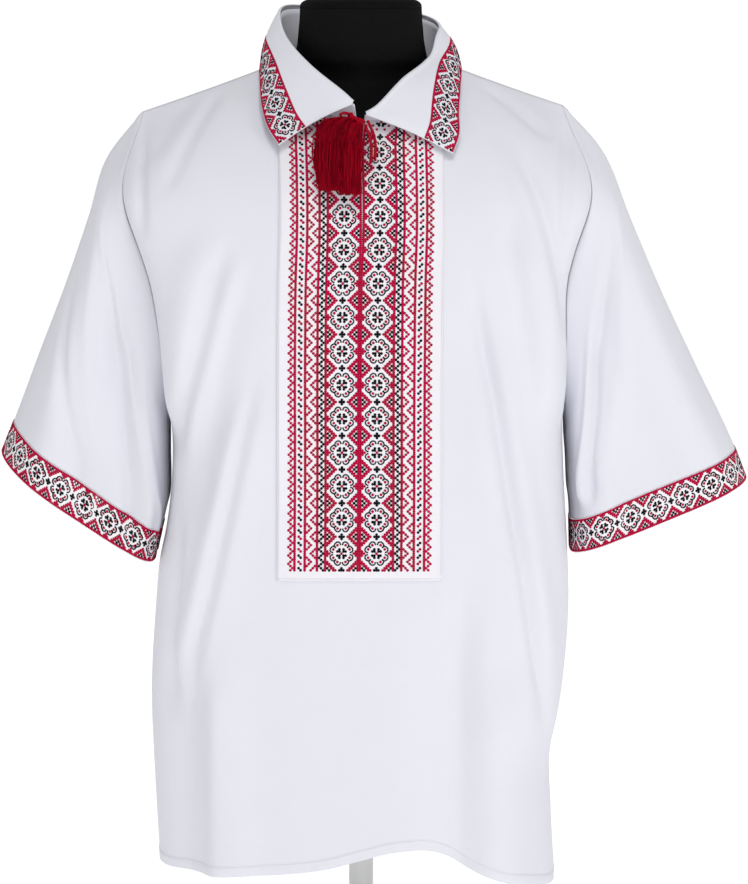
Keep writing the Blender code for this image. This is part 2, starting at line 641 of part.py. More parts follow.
class Panel:
    """A cut piece of cloth: an open surface that is given its wall and its seams."""

    def __init__(self, name, grids, wall, closed=False, flip=False):
        self.name = name
        self.wall = wall
        self.points, self.triangles = merged_surface(grids, closed)
        if flip:
            self.triangles = self.triangles[:, ::-1]
        self.normals = point_normals(self.points, self.triangles)
        self.rim = rim_edges(self.triangles)
        self.rim_points = sorted({int(index) for edge in self.rim for index in edge})
        self.inward = self.rim_directions()
        self.wall_step = -self.normals * wall

    def rim_directions(self):
        """Unit direction from each rim point into the panel, square to the rim."""
        centres = self.points[self.triangles].mean(axis=1)
        inward = np.zeros_like(self.points)
        for corner in range(3):
            spokes = centres - self.points[self.triangles[:, corner]]
            np.add.at(inward, self.triangles[:, corner], spokes)
        along = np.zeros_like(self.points)
        for start, end in self.rim:
            step = self.points[end] - self.points[start]
            along[start] += step
            along[end] += step
        along /= np.maximum(np.linalg.norm(along, axis=1, keepdims=True), 1e-9)
        inward -= along * np.sum(inward * along, axis=1, keepdims=True)
        inward /= np.maximum(np.linalg.norm(inward, axis=1, keepdims=True), 1e-9)
        return inward

    def solid(self, gap):
        """Outer and inner points with the panel's triangles, and walls round its rim."""
        outer = self.points.copy()
        outer[self.rim_points] += self.inward[self.rim_points] * gap / 2
        inner = outer + self.wall_step
        count = len(outer)
        faces = [tuple(map(int, face)) for face in self.triangles]
        faces += [tuple(int(index) + count for index in face[::-1]) for face in self.triangles]
        for start, end in self.rim:
            a, b, c, d = int(end), int(start), int(start) + count, int(end) + count
            faces += [(a, b, c), (a, c, d)]
        return np.concatenate([outer, inner]), faces


def fit_seams(panels):
    """Where two panels meet in a ridge, keep each wall on its own side of the seam."""
    places = {}
    for panel in panels:
        for index in panel.rim_points:
            key = tuple(np.round(panel.points[index], 5))
            places.setdefault(key, []).append((panel, index))
    for meeting in places.values():
        steps = []
        for panel, index in meeting:
            step = panel.wall_step[index].copy()
            for other, other_index in meeting:
                if other is panel:
                    continue
                across = panel.inward[index] - other.inward[other_index]
                across /= max(np.linalg.norm(across), 1e-9)
                step -= min(0.0, float(step @ across)) * across
            steps.append(step)
        for (panel, index), step in zip(meeting, steps):
            panel.wall_step[index] = step


def finish(name, color, roughness, metallic=0.0):
    """A plain Principled material."""
    material = bpy.data.materials.new(name)
    material.use_nodes = True
    shader = material.node_tree.nodes["Principled BSDF"]
    shader.inputs["Base Color"].default_value = (*color, 1.0)
    shader.inputs["Roughness"].default_value = roughness
    shader.inputs["Metallic"].default_value = metallic
    material.diffuse_color = (*color, 1.0)
    return material


def add_mesh(name, points, faces, material, collection, angle=40.0):
    """A named mesh object, shaded smooth but for sharp edges."""
    mesh = bpy.data.meshes.new(name)
    mesh.from_pydata([tuple(place) for place in points], [], faces)
    mesh.validate()
    mesh.shade_smooth()
    mesh.set_sharp_from_angle(angle=math.radians(angle))
    mesh.materials.append(material)
    thing = bpy.data.objects.new(name, mesh)
    collection.objects.link(thing)
    return thing


def grid_quads(rows, columns):
    """Quads of an open grid of points."""
    index = np.arange(rows * columns).reshape(rows, columns)
    corners = (index[:-1, :-1], index[1:, :-1], index[1:, 1:], index[:-1, 1:])
    return np.stack(corners, axis=-1).reshape(-1, 4).tolist()


def add_solidify(thing, thickness, offset):
    """Give an open surface its wall."""
    modifier = thing.modifiers.new("wall", "SOLIDIFY")
    modifier.thickness = thickness
    modifier.offset = offset
    modifier.use_rim = True
    return modifier


# ---------------------------------------------------------------- shirt parts
def build_panels(cloth, collection):
    """Front, back, sleeves, cuffs and collar stand, fitted to each other at the seams."""
    front = body_panel("front")
    back = body_panel("back")
    neck = neck_path(front, back)
    panels = [
        Panel("front", front, WALL, flip=False),
        Panel("back", back, WALL, flip=True),
        Panel("collar_stand", [stand_grid(neck)], COLLAR_WALL, flip=True),
    ]
    edge_rows = YOKE_ROWS + ARMPIT_ROW + 1
    for hand, half, column in (("left", 0, 0), ("right", 1, -1)):
        front_edge = front[half][:edge_rows, column]
        back_edge = back[half][:edge_rows, column]
        flip = hand == "right"
        steps = np.linspace(0.0, 1.0, SLEEVE_ROWS + 1)
        sleeve = sleeve_grid(front_edge, back_edge, steps, hand)
        cuff_steps = np.linspace(1.0, CUFF_EDGE_SHARE, CUFF_ROWS + 1)
        cuff = sleeve_grid(front_edge, back_edge, cuff_steps, hand)
        panels.append(Panel(f"sleeve_{hand}", [sleeve], WALL, closed=True, flip=flip))
        panels.append(Panel(f"cuff_{hand}", [cuff], WALL, closed=True, flip=flip))
    fit_seams(panels)
    for panel in panels:
        points, faces = panel.solid(3 * SEAM_GAP)
        add_mesh(panel.name, points, faces, cloth, collection)
    return front


def build_insert(front, cloth, collection):
    """The chest insert: the front's own points over its middle, moved out."""
    rows = YOKE_ROWS + CHEST_ROWS + 1
    left = front[0][:rows, -(INSERT_COLUMNS + 1):]
    right = front[1][:rows, :INSERT_COLUMNS + 1]
    panel = Panel("chest_insert", [left, right], -INSERT_WALL)
    panel.points = panel.points + panel.normals * LAY_GAP
    points, faces = panel.solid(3 * SEAM_GAP)
    flipped = [face[::-1] for face in faces]
    add_mesh("chest_insert", points, flipped, cloth, collection)


def build_leaf(cloth, collection):
    """The collar leaf, walled on its under side."""
    grid = leaf_grid()
    rows, columns = grid.shape[:2]
    faces = [face[::-1] for face in grid_quads(rows, columns)]
    leaf = add_mesh("collar_leaf", grid.reshape(-1, 3), faces, cloth, collection)
    add_solidify(leaf, COLLAR_WALL, -1.0)
    return leaf


# ------------------------------------------------------------ tie and tassels
def smooth_route(places, count):
    """Points along a smooth curve through a route's places."""
    places = np.array(places)
    share = path_shares(places)
    at = np.linspace(0.0, 1.0, count)
    return np.stack([smooth(at, share, places[:, axis]) for axis in range(3)], axis=-1)


def route_curve(name, route, radius):
    """A poly curve with a round bevel and filled caps."""
    curve = bpy.data.curves.new(name, "CURVE")
    curve.dimensions = "3D"
    curve.bevel_depth = radius
    curve.bevel_resolution = 2
    curve.use_fill_caps = True
    spline = curve.splines.new("POLY")
    spline.points.add(len(route) - 1)
    for point, place in zip(spline.points, route):
        point.co = (*place, 1.0)
    return curve


def build_cord_ends(cord, collection):
    """The two free ends of the tie, hanging from the knot."""
    for name, places in CORD_ENDS.items():
        curve = route_curve(name, smooth_route(places, CORD_POINTS), CORD_RADIUS)
        curve.materials.append(cord)
        collection.objects.link(bpy.data.objects.new(name, curve))


def build_knot(cord, collection):
    """The tie's knot at the throat, with the leads that run into the tassel heads."""
    bpy.ops.mesh.primitive_uv_sphere_add(segments=14, ring_count=9, radius=1.0,
                                         location=KNOT_PLACE)
    knot = bpy.context.object
    knot.name = "tie_knot"
    knot.data.name = "tie_knot"
    knot.scale = KNOT_SIZE
    bpy.ops.object.transform_apply(location=True, rotation=False, scale=True)
    for places in TASSEL_LEADS:
        lead = tube_mesh("tie_lead", smooth_route(places, LEAD_POINTS), CORD_RADIUS)
        join_solid(knot, lead)
    knot.data.shade_smooth()
    knot.data.materials.clear()
    knot.data.materials.append(cord)
    move_to(knot, collection)


def tube_mesh(name, route, radius):
    """A closed tube along a route, as a mesh object."""
    curve = route_curve(name, route, radius)
    source = bpy.data.objects.new(name, curve)
    bpy.context.scene.collection.objects.link(source)
    graph = bpy.context.evaluated_depsgraph_get()
    mesh = bpy.data.meshes.new_from_object(source.evaluated_get(graph))
    welded = bmesh.new()
    welded.from_mesh(mesh)
    bmesh.ops.remove_doubles(welded, verts=welded.verts, dist=1e-6)
    welded.to_mesh(mesh)
    welded.free()
    tube = bpy.data.objects.new(name, mesh)
    tube.matrix_world = source.matrix_world
    bpy.data.objects.remove(source, do_unlink=True)
    bpy.context.scene.collection.objects.link(tube)
    return tube


def join_solid(body, tool):
    """Unite a solid with another, which is then removed."""
    union = body.modifiers.new("union", "BOOLEAN")
    union.operation = "UNION"
    union.solver = "EXACT"
    union.object = tool
    graph = bpy.context.evaluated_depsgraph_get()
    joined = bpy.data.meshes.new_from_object(body.evaluated_get(graph))
    body.modifiers.clear()
    body.data = joined
    bpy.data.objects.remove(tool, do_unlink=True)


def move_to(thing, collection):
    """Link an object to one collection alone."""
    for owner in list(thing.users_collection):
        owner.objects.unlink(thing)
    collection.objects.link(thing)


def build_tassels(thread, collection):
    """Tassels: a domed head whose underside runs out into parted strands."""
    for row, name in enumerate(TASSEL_NAMES):
        sizes = {key: column[row] for key, column in TASSELS.items()}
        head = Vector((sizes["head_x"], sizes["head_y"], sizes["head_z"]))
        foot = Vector((sizes["foot_x"], sizes["foot_y"], sizes["foot_z"]))
        mesh = bmesh.new()
        cells = tassel_underside(mesh, sizes["head_radius"])
        dome_top(mesh, cells, sizes["head_radius"])
        grow_strands(mesh, cells, sizes, foot - head)
        bmesh.ops.translate(mesh, verts=mesh.verts, vec=head)
        bmesh.ops.recalc_face_normals(mesh, faces=mesh.faces)
        data = bpy.data.meshes.new(name)
        mesh.to_mesh(data)
        mesh.free()
        data.materials.append(thread)
        collection.objects.link(bpy.data.objects.new(name, data))


def tassel_underside(mesh, radius):
    """A disc of quad cells, one for each strand: a square grid pressed into a circle."""
    side = TASSEL_CELLS
    lines = np.linspace(-1.0, 1.0, side + 1)
    corners = {}
    for i, x in enumerate(lines):
        for j, y in enumerate(lines):
            px = x * math.sqrt(1.0 - y * y / 2) * radius
            py = y * math.sqrt(1.0 - x * x / 2) * radius
            corners[i, j] = mesh.verts.new((px, py, 0.0))
    cells = []
    for i in range(side):
        for j in range(side):
            loop = (corners[i, j], corners[i, j + 1], corners[i + 1, j + 1], corners[i + 1, j])
            cells.append(mesh.faces.new(loop))
    return cells


def dome_top(mesh, cells, radius):
    """Close the head above its underside with a dome in two steps."""
    rim = [edge for edge in mesh.edges if edge.is_boundary]
    for lift, scale in ((0.45, 1.0), (0.35, 0.8), (0.20, 0.55)):
        grown = bmesh.ops.extrude_edge_only(mesh, edges=rim)["geom"]
        verts = [item for item in grown if isinstance(item, bmesh.types.BMVert)]
        rim = [item for item in grown if isinstance(item, bmesh.types.BMEdge)]
        for vert in verts:
            ratio = scale * radius / math.hypot(vert.co.x, vert.co.y)
            vert.co.x *= ratio
            vert.co.y *= ratio
            vert.co.z += lift * TASSEL_HEAD_HEIGHT
    bmesh.ops.contextual_create(mesh, geom=rim)


def grow_strands(mesh, cells, sizes, drop):
    """Inset each cell and draw it down, section by section, to the tassel's foot."""
    bmesh.ops.inset_individual(mesh, faces=cells, thickness=0.00025, use_even_offset=True)
    roots = [cell.calc_center_median() for cell in cells]
    tips = cells
    wide = (1.0, 1.0)
    for row in range(len(TASSEL_FALL["share"])):
        fall = {name: column[row] for name, column in TASSEL_FALL.items()}
        before = wide
        wide = [1.0 + (sizes[f"foot_r{axis}"] / sizes["head_radius"] - 1.0) * fall["spread"]
                for axis in "xy"]
        tips = bmesh.ops.extrude_discrete_faces(mesh, faces=tips)["faces"]
        for face, root in zip(tips, roots):
            centre = face.calc_center_median()
            uneven = TASSEL_UNEVEN * math.sin(root.x * 2300.0 + root.y * 1700.0)
            place = Vector((root.x * wide[0] + drop.x * fall["sway_x"],
                            root.y * wide[1] + drop.y * fall["sway_y"],
                            (drop.z + uneven) * fall["share"]))
            for vert in face.verts:
                offset = vert.co - centre
                vert.co = place + Vector((offset.x * wide[0] / before[0],
                                          offset.y * wide[1] / before[1], offset.z))


# ------------------------------------------------------- dress form and stand
def build_form(skin, cap, collection):
    """The torso as rings from the hip up, the neck that stands on it, and its cap."""
    sides = np.linspace(0.0, 2 * math.pi, FORM_SIDES, endpoint=False)
    cosine, sine = np.cos(sides), np.sin(sides)
    rings = {name: column[:, None] for name, column in FORM_RINGS.items()}
    power = 2 / rings["squareness"]
    x = rings["half_width"] * np.sign(cosine) * np.abs(cosine) ** power
    depth = np.where(sine < 0, rings["front"], rings["back"])
    y = depth * np.sign(sine) * np.abs(sine) ** power
    points = stack(x, y, rings["z"] + 0 * x)
    neck = points[FORM_NECK_RING:].copy()
    neck[0, :, 2] += SEAM_GAP
    for name, part in (("torso_form", points[:FORM_NECK_RING + 1]), ("form_neck", neck)):
        add_mesh(name, part.reshape(-1, 3), tube_faces(*part.shape[:2]), skin, collection)

    top = points[-1]
    centre = top.mean(axis=0)
    rows = []
    for lift, scale in ((0.0003, 1.0), (NECK_CAP_EDGE, 0.985),
                        (NECK_CAP_RISE * 0.75, 0.80), (NECK_CAP_RISE, 0.40)):
        rows.append(centre + (top - centre) * scale + np.array([0.0, 0.0, lift]))
    rows = np.array(rows)
    add_mesh("neck_cap", rows.reshape(-1, 3), tube_faces(*rows.shape[:2]), cap, collection)


def tube_faces(rows, columns):
    """Quads round a tube of rings that runs upwards, with a cap at each end."""
    index = np.arange(rows * columns).reshape(rows, columns)
    turned = np.roll(index, -1, axis=1)
    corners = (index[:-1], turned[:-1], turned[1:], index[1:])
    faces = np.stack(corners, axis=-1).reshape(-1, 4).tolist()
    return faces + [index[0][::-1].tolist(), index[-1].tolist()]


def turned_piece(name, profile, material, collection, steps=36):
    """A turned solid: a profile of radius and height, swept round the z axis."""
    mesh = bpy.data.meshes.new(name)
    points = [(radius, 0.0, height) for radius, height in profile]
    edges = [(index, index + 1) for index in range(len(points) - 1)]
    mesh.from_pydata(points, edges, [])
    mesh.materials.append(material)
    thing = bpy.data.objects.new(name, mesh)
    collection.objects.link(thing)
    screw = thing.modifiers.new("turn", "SCREW")
    screw.axis = "Z"
    screw.steps = steps
    screw.render_steps = steps
    screw.use_merge_vertices = True
    screw.merge_threshold = 1e-5
    screw.use_smooth_shade = True
    return thing


def build_stand(enamel, collection):
    """A round base with a raised hub, a pole, and the flange under the torso."""
    hub_top = BASE_HEIGHT + HUB_HEIGHT
    turned_piece("stand_base", [
        (0.0, hub_top),
        (HUB_RADIUS * 0.8, hub_top),
        (HUB_RADIUS, hub_top - 0.004),
        (HUB_RADIUS + 0.002, BASE_HEIGHT + 0.004),
        (HUB_RADIUS + 0.008, BASE_HEIGHT),
        (BASE_RADIUS - BASE_EDGE, BASE_HEIGHT),
        (BASE_RADIUS - BASE_EDGE * 0.3, BASE_HEIGHT - BASE_EDGE * 0.3),
        (BASE_RADIUS, BASE_HEIGHT - BASE_EDGE),
        (BASE_RADIUS, 0.0),
        (0.0, 0.0),
    ], enamel, collection)
    form_foot = FORM_RINGS["z"][0]
    pole_top = form_foot - SEAM_GAP
    flange_foot = pole_top - FLANGE_HEIGHT
    turned_piece("stand_pole", [
        (0.0, pole_top),
        (FLANGE_RADIUS, pole_top),
        (FLANGE_RADIUS, flange_foot),
        (POLE_RADIUS, flange_foot - 0.004),
        (POLE_RADIUS, hub_top + SEAM_GAP),
        (0.0, hub_top + SEAM_GAP),
    ], enamel, collection, steps=24)


def main():
    """Build every piece in the shirt's collection."""
    for thing in list(bpy.data.objects):
        bpy.data.objects.remove(thing, do_unlink=True)
    collection = bpy.data.collections.new("vyshyvanka_shirt")
    bpy.context.scene.collection.children.link(collection)
    cloth = finish("white_cloth", (0.84, 0.86, 0.92), 0.85)
    insert_cloth = finish("insert_cloth", (0.90, 0.91, 0.95), 0.85)
    thread = finish("red_thread", (0.38, 0.01, 0.03), 0.6)
    skin = finish("black_jersey", (0.012, 0.012, 0.013), 0.9)
    cap = finish("black_cap", (0.006, 0.006, 0.007), 0.6)
    enamel = finish("white_enamel", (0.80, 0.80, 0.80), 0.35)
    front = build_panels(cloth, collection)
    build_insert(front, insert_cloth, collection)
    build_leaf(cloth, collection)
    build_knot(thread, collection)
    build_cord_ends(thread, collection)
    build_tassels(thread, collection)
    build_form(skin, cap, collection)
    build_stand(enamel, collection)


main()
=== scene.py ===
"""Dress the embroidered shirt: fine cloth, cross stitch, tie, dress form, stand and studio.

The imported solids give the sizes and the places. Each sub-assembly below is a class with
its sizes as fields and methods that work out its surfaces on grids, give them a wall and
a finish, and hide the solids that they stand for. Metres, +Z up, the front faces -Y.
"""

import logging
import math
from dataclasses import dataclass, field
from enum import Enum
from typing import Optional, Sequence, Union

import bpy
import numpy as np
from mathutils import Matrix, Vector


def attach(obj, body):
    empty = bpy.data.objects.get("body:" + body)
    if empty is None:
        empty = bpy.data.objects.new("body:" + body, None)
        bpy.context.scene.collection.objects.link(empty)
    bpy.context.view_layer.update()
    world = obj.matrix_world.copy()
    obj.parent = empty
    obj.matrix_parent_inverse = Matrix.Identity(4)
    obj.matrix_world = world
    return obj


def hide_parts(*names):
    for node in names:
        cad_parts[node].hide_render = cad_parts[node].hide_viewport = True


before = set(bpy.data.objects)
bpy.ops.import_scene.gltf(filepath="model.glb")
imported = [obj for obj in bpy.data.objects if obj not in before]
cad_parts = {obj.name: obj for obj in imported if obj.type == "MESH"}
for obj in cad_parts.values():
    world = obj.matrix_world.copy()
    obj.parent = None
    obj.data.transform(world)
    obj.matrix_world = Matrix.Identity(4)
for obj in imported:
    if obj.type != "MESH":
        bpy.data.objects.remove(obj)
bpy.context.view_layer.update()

log = logging.getLogger("shirt")
Numbers = np.ndarray
Table = dict[str, Numbers]
Place = tuple[float, float, float]
Pair = tuple[float, float]
Route = Sequence[Sequence[float]]
Object = bpy.types.Object
Material = bpy.types.Material
Socket = bpy.types.NodeSocket
# Points, arrays of faces, and those faces' UV places.
Parts = tuple[Numbers, list[Numbers], list[Numbers]]


class Way(Enum):
    """A direction of the shirt, whose value is the sign of an axis."""

    @property
    def word(self) -> str:
        """The direction's name in lower case."""
        return self.name.lower()


class Hand(Way):
    """The two sides of the shirt as seen from the front: the sign of x."""

    LEFT = -1
    RIGHT = 1


class Side(Way):
    """The front and the back of the body: the sign of y."""

    FRONT = -1
    BACK = 1


class Thread(Enum):
    """The two colours of embroidery thread."""

    RED = "red"
    BLACK = "black"


# A grid for each half, and those of the front and the back.
Halves = dict[Hand, Numbers]
Panels = dict[Side, Halves]


def table(names: str, rows: str) -> Table:
    """Turn a text of numbers into one array for each named column.

    Args:
        names: The columns' names, parted by spaces.
        rows: The numbers, each section's, ring's or fold's on a line or up to a comma.

    Returns:
        The columns by name.
    """
    values = np.array(rows.replace(",", " ").split(), dtype=float)
    columns = values.reshape(-1, len(names.split())).T
    return dict(zip(names.split(), columns.copy()))


# ---- body tables
SIDE_LINES = table("z left right", """
    .8 .24 .2345, .765 .239 .233, .735 .225 .217, .69 .211 .207, .63 .201 .2055, .582 .196 .2045,
    .545 .192 .204, .48 .1925 .2062, .434 .1985 .209, .405 .2045 .2105, .357 .209 .2115,
    .253 .214 .2015, .211 .2125 .1935, .149 .2095 .1945, .09 .206 .1975
""")
# How far the middle of the front wanders sideways, by height.
SWAY = table("z x", """
    .1 -.0014, .399 -.002, .48 -.0014, .62 -.001, .7 0, .745 .0016, .8 .0012, .84 0, .92 0
""")
BODY_DEPTHS = table("z front back squareness", """
    .765 .119 .113 2.6, .69 .135 .121 3, .56 .143 .119 3.4, .399 .148 .121 3.2, .25 .15 .125 2.9,
    .09 .153 .129 2.8
""")
HEMS = {
    Side.FRONT: table("x z", """
    -.21 .095, -.16 .097, -.11 .1, -.071 .103, -.03 .1085, 0 .1165, .04 .1255, .069 .1255,
    .092 .118, .11 .107, .126 .0975, .14 .0915, .16 .0865, .195 .075
"""),
    Side.BACK: table("x z", """
    -.21 .095, -.12 .104, 0 .101, .11 .105, .195 .075
"""),
}
# How a panel leaves the shoulder and neck seams, from the centre line to the tip.
PULLS = {
    Side.FRONT: table("share y z", """
    0 -.03 -.1, .36 -.17 -.06, .68 -.16 -.04, 1 -.055 -.08
"""),
    Side.BACK: table("share y z", """
    0 .04 -.11, .36 .17 -.05, .68 .16 -.04, 1 .055 -.08
"""),
}
# Folds: x and z where the centre line starts and ends, half its width, its height and
# its bow. The first rows are the large folds of the solids, the rest are finer creases.
FOLD_COLUMNS = "start start_at end end_at half_width height bow"
BODY_FOLDS = {
    Side.FRONT: table(FOLD_COLUMNS, """
    -.15 .76 -.176 .52 .02 .007 -.012
    -.118 .72 -.165 .43 .022 -.007 -.008
    -.098 .61 -.18 .24 .025 .009 0
    -.168 .35 -.16 .04 .017 -.007 0
    -.134 .36 -.126 .04 .021 .008 0
    .15 .76 .188 .54 .02 .007 .012
    .118 .72 .158 .4 .022 -.007 .008
    .105 .64 .178 .18 .025 .0095 .008
    .084 .38 .086 .03 .026 -.009 0
    .145 .32 .146 .03 .022 .0105 0
    -.132 .745 -.19 .5 .008 -.007 -.002
    -.118 .735 -.178 .49 .009 .006 -.002
    -.1 .62 -.18 .245 .0065 -.0085 .003
    -.116 .6 -.182 .29 .011 .0065 .002
    -.182 .48 -.196 .24 .008 -.008 0
    -.184 .33 -.182 .02 .015 -.0105 0
    -.146 .33 -.146 .02 .012 .007 0
    .102 .74 .186 .2 .0065 -.009 .008
    .118 .73 .196 .24 .011 .006 .008
    .138 .78 .176 .54 .01 -.006 .004
    .1 .43 .104 .03 .013 -.007 0
    .126 .4 .13 .05 .013 .005 0
    -.135 .89 -.196 .775 .008 -.0034 -.006
    -.16 .89 -.222 .8 .012 -.0024 0
    -.2215 .862 -.218 .73 .006 -.005 0
    .118 .89 .19 .83 .008 -.0042 .004
    .15 .84 .206 .62 .008 -.006 .014
    .2064 .857 .2024 .725 .006 -.005 0
    .134 .84 .19 .62 .01 .0045 .014
"""),
    Side.BACK: table(FOLD_COLUMNS, """
    -.12 .79 -.174 .48 .022 .008 -.01
    -.084 .66 -.132 .03 .028 -.01 .006
    -.042 .62 -.078 .03 .026 .0095 0
    .012 .58 0 .03 .028 -.0085 .004
    .06 .66 .07 .03 .026 .01 0
    .11 .64 .128 .03 .024 -.009 0
    .125 .79 .18 .5 .022 .008 .01
    -.108 .76 -.15 .4 .009 -.0034 -.006
    -.06 .6 -.1 .2 .01 -.0026 .004
    -.02 .52 -.03 .06 .012 .0022 0
    .036 .56 .04 .14 .01 -.0026 .002
    .09 .7 .122 .33 .009 -.0032 .004
    .142 .69 .172 .38 .01 -.0028 .006
    -.09 .88 -.16 .82 .011 -.002 0
    .092 .882 .158 .818 .011 -.002 0
"""),
}

# ---- sleeve tables
RING_COLUMNS = "share out_x out_z in_x in_z half_depth sag"
# The first rows are the armhole: its top is the shoulder tip and its foot the armpit.
SLEEVE_RINGS = {
    Hand.LEFT: table(RING_COLUMNS, """
    0 .2204 .8575 .1935 .5558571428571428 .07 0
    .15 .259 .807 .1945 .54 .072 0
    .28 .2745 .756 .1942 .527 .0735 0
    .42 .2935 .7 .1942 .512 .075 0
    .72 .328 .61 .1948 .47 .0755 .004
    1 .3535 .543 .203 .44 .0755 .017
    1.1 .3665 .5105 .2107 .4075 .076 .021
"""),
    Hand.RIGHT: table(RING_COLUMNS, """
    0 .2034 .864 .204 .5558571428571428 .07 0
    .15 .2475 .8125 .206 .54 .072 0
    .28 .273 .75 .2065 .527 .0735 0
    .42 .2985 .69 .2078 .512 .075 0
    .72 .34 .601 .2095 .478 .0755 .001
    1 .3805 .516 .2125 .444 .0755 0
    1.1 .3925 .485 .2135 .4105 .076 .003
"""),
}
# Sleeve folds: degrees round the sleeve from its top edge, positive over the front,
# where a fold starts and ends, half its width, and its start and end down the sleeve.
SLEEVE_FOLD_COLUMNS = "start end half_width start_at end_at height bow"
LARGE_SLEEVE_FOLDS = """
    58 58 17 .1 1.16 .0065 0
    94 94 16 .12 1.14 -.0075 0
    128 128 16 .1 1.16 .006 0
    -58 -58 17 .1 1.16 .0065 0
    -92 -92 16 .12 1.14 -.0075 0
    -130 -130 16 .1 1.16 .006 0
"""
SLEEVE_FOLDS = {
    Hand.LEFT: table(SLEEVE_FOLD_COLUMNS, LARGE_SLEEVE_FOLDS + """
    64 112 5 .04 1.12 -.0075 12
    56 124 7 .02 1.12 .006 20
    26 88 7 .36 1.12 -.006 8
    48 100 8 .2 1.12 .005 10
    104 146 7 .2 1.1 .0045 0
    -64 -108 7 .06 1.12 -.004 -10
    -40 -84 8 .25 1.12 .0032 -8
"""),
    Hand.RIGHT: table(SLEEVE_FOLD_COLUMNS, LARGE_SLEEVE_FOLDS + """
    66 128 4.5 .04 1 -.0075 14
    52 112 8 .06 1.1 .0045 14
    76 138 6 .04 1 .0055 18
    100 108 6 .7 1.12 -.0035 0
    -64 -104 7 .06 1.12 -.004 -10
    -40 -80 8 .25 1.12 .0032 -8
"""),
}

# ---- collar tables
COLLAR_STATIONS = table("share roll_x roll_y roll_z edge_x edge_y edge_z", """
    0 -.007 -.09 .869 -.0815 -.096 .829
    .06 -.018 -.085 .8785 -.0925 -.083 .845
    .13 -.05 -.062 .9028 -.099 -.062 .864
    .22 -.077 -.02 .932 -.1015 -.03 .8885
    .3 -.082 .02 .956 -.101 .008 .902
    .4 -.056 .065 .959 -.08 .052 .897
    .5 0 .078 .956 0 .093 .9
    .6 .056 .065 .951 .08 .052 .897
    .7 .08 .02 .94 .101 .008 .902
    .76 .0765 -.008 .929 .1012 -.0205 .893
    .795 .0715 -.027 .913 .1005 -.036 .886
    .82 .064 -.04 .9055 .1 -.0455 .8785
    .87 .044 -.064 .8915 .0985 -.064 .861
    .94 .018 -.086 .866 .0985 -.085 .8385
    1 .005 -.09 .858 .092 -.096 .8205
""")

# ---- tie tables
TASSELS = {
    "tassel_left": dict(root=(-0.0085, -0.0950, 0.8560), first=(-0.0170, 0.0120, 0.0035),
                        shoulder=(0.0090, 0.0560, -0.0060),
                        foot=(-0.0300, -0.1270, 0.7890), foot_radii=(0.0128, 0.0100)),
    "tassel_right": dict(root=(-0.0045, -0.0950, 0.8520), first=(-0.0030, 0.0070, -0.0020),
                         shoulder=(0.0000, 0.0480, 0.0000),
                         foot=(-0.0105, -0.1280, 0.7850), foot_radii=(0.0112, 0.0100)),
}
TIE_LEADS = {
    "tassel_left": [(-0.0015, -0.0930, 0.8515), (-0.0080, -0.0950, 0.8575),
                    (-0.0150, -0.0965, 0.8605), (-0.0195, -0.0970, 0.8595),
                    (-0.0202, -0.0970, 0.8573)],
    "tassel_right": [(-0.0015, -0.0930, 0.8515), (-0.0030, -0.0955, 0.8490),
                     (-0.0042, -0.0966, 0.8470), (-0.0045, -0.0966, 0.8452)],
}
TIE_ENDS = {
    "tie_end_near": [(0.0050, -0.0973, 0.8492), (0.0064, -0.1000, 0.8435),
                     (0.0094, -0.1045, 0.8350), (0.0108, -0.1080, 0.8230),
                     (0.0098, -0.1105, 0.8110)],
    "tie_end_far": [(0.0068, -0.0944, 0.8530), (0.0100, -0.0968, 0.8465),
                    (0.0136, -0.1005, 0.8370), (0.0148, -0.1040, 0.8260),
                    (0.0140, -0.1070, 0.8150)],
}

# ---- form tables
FORM_RINGS = table("z half_width front back squareness", """
    .175 .06 .045 .045 2
    .18 .125 .082 .078 2.1
    .195 .152 .1 .094 2.2
    .24 .164 .109 .104 2.2
    .32 .16 .108 .103 2.2
    .43 .146 .104 .092 2.2
    .54 .152 .112 .094 2.2
    .65 .167 .119 .102 2.25
    .73 .178 .114 .102 2.3
    .79 .187 .099 .093 2.1
    .832 .188 .08 .081 1.8
    .852 .184 .066 .072 1.45
    .8656 .171 .053 .064 1.22
    .8782 .144 .046 .059 1.12
    .8909 .112 .042 .056 1.08
    .901 .082 .044 .056 1.2
    .911 .067 .052 .057 1.75
    .927 .064 .057 .058 2
    .95 .062 .058 .058 2
    .962 .0615 .058 .058 2
""")


# ---- numbers
def smooth(at: Numbers, knots: Numbers, values: Numbers) -> Numbers:
    """Cubic curve through a table's values, with slopes from their neighbours.

    Args:
        at: Where to read it.
        knots: The table's places, in rising order.
        values: The table's values.

    Returns:
        The curve's values.
    """
    slopes = np.gradient(values, knots)
    index = np.clip(np.searchsorted(knots, at) - 1, 0, len(knots) - 2)
    step = knots[index + 1] - knots[index]
    t = np.clip((at - knots[index]) / step, 0.0, 1.0)
    rise = values[index + 1] - values[index]
    start = slopes[index] * step
    end = slopes[index + 1] * step
    return (values[index] + start * t + (3 * rise - 2 * start - end) * t ** 2
            + (start + end - 2 * rise) * t ** 3)


def by_height(at: Numbers, rows: Table, name: str) -> Numbers:
    """Read a column of a table that runs from the top down, at heights."""
    return smooth(at, rows["z"][::-1], rows[name][::-1])


def soft_step(value: Numbers) -> Numbers:
    """Ease from 0 to 1: 3 t squared less 2 t cubed."""
    t = np.clip(value, 0.0, 1.0)
    return t * t * (3.0 - 2.0 * t)


def signed_power(value: Numbers, power: Numbers) -> Numbers:
    """A power of a number's size with its own sign, as superellipses need."""
    return np.sign(value) * np.abs(value) ** power


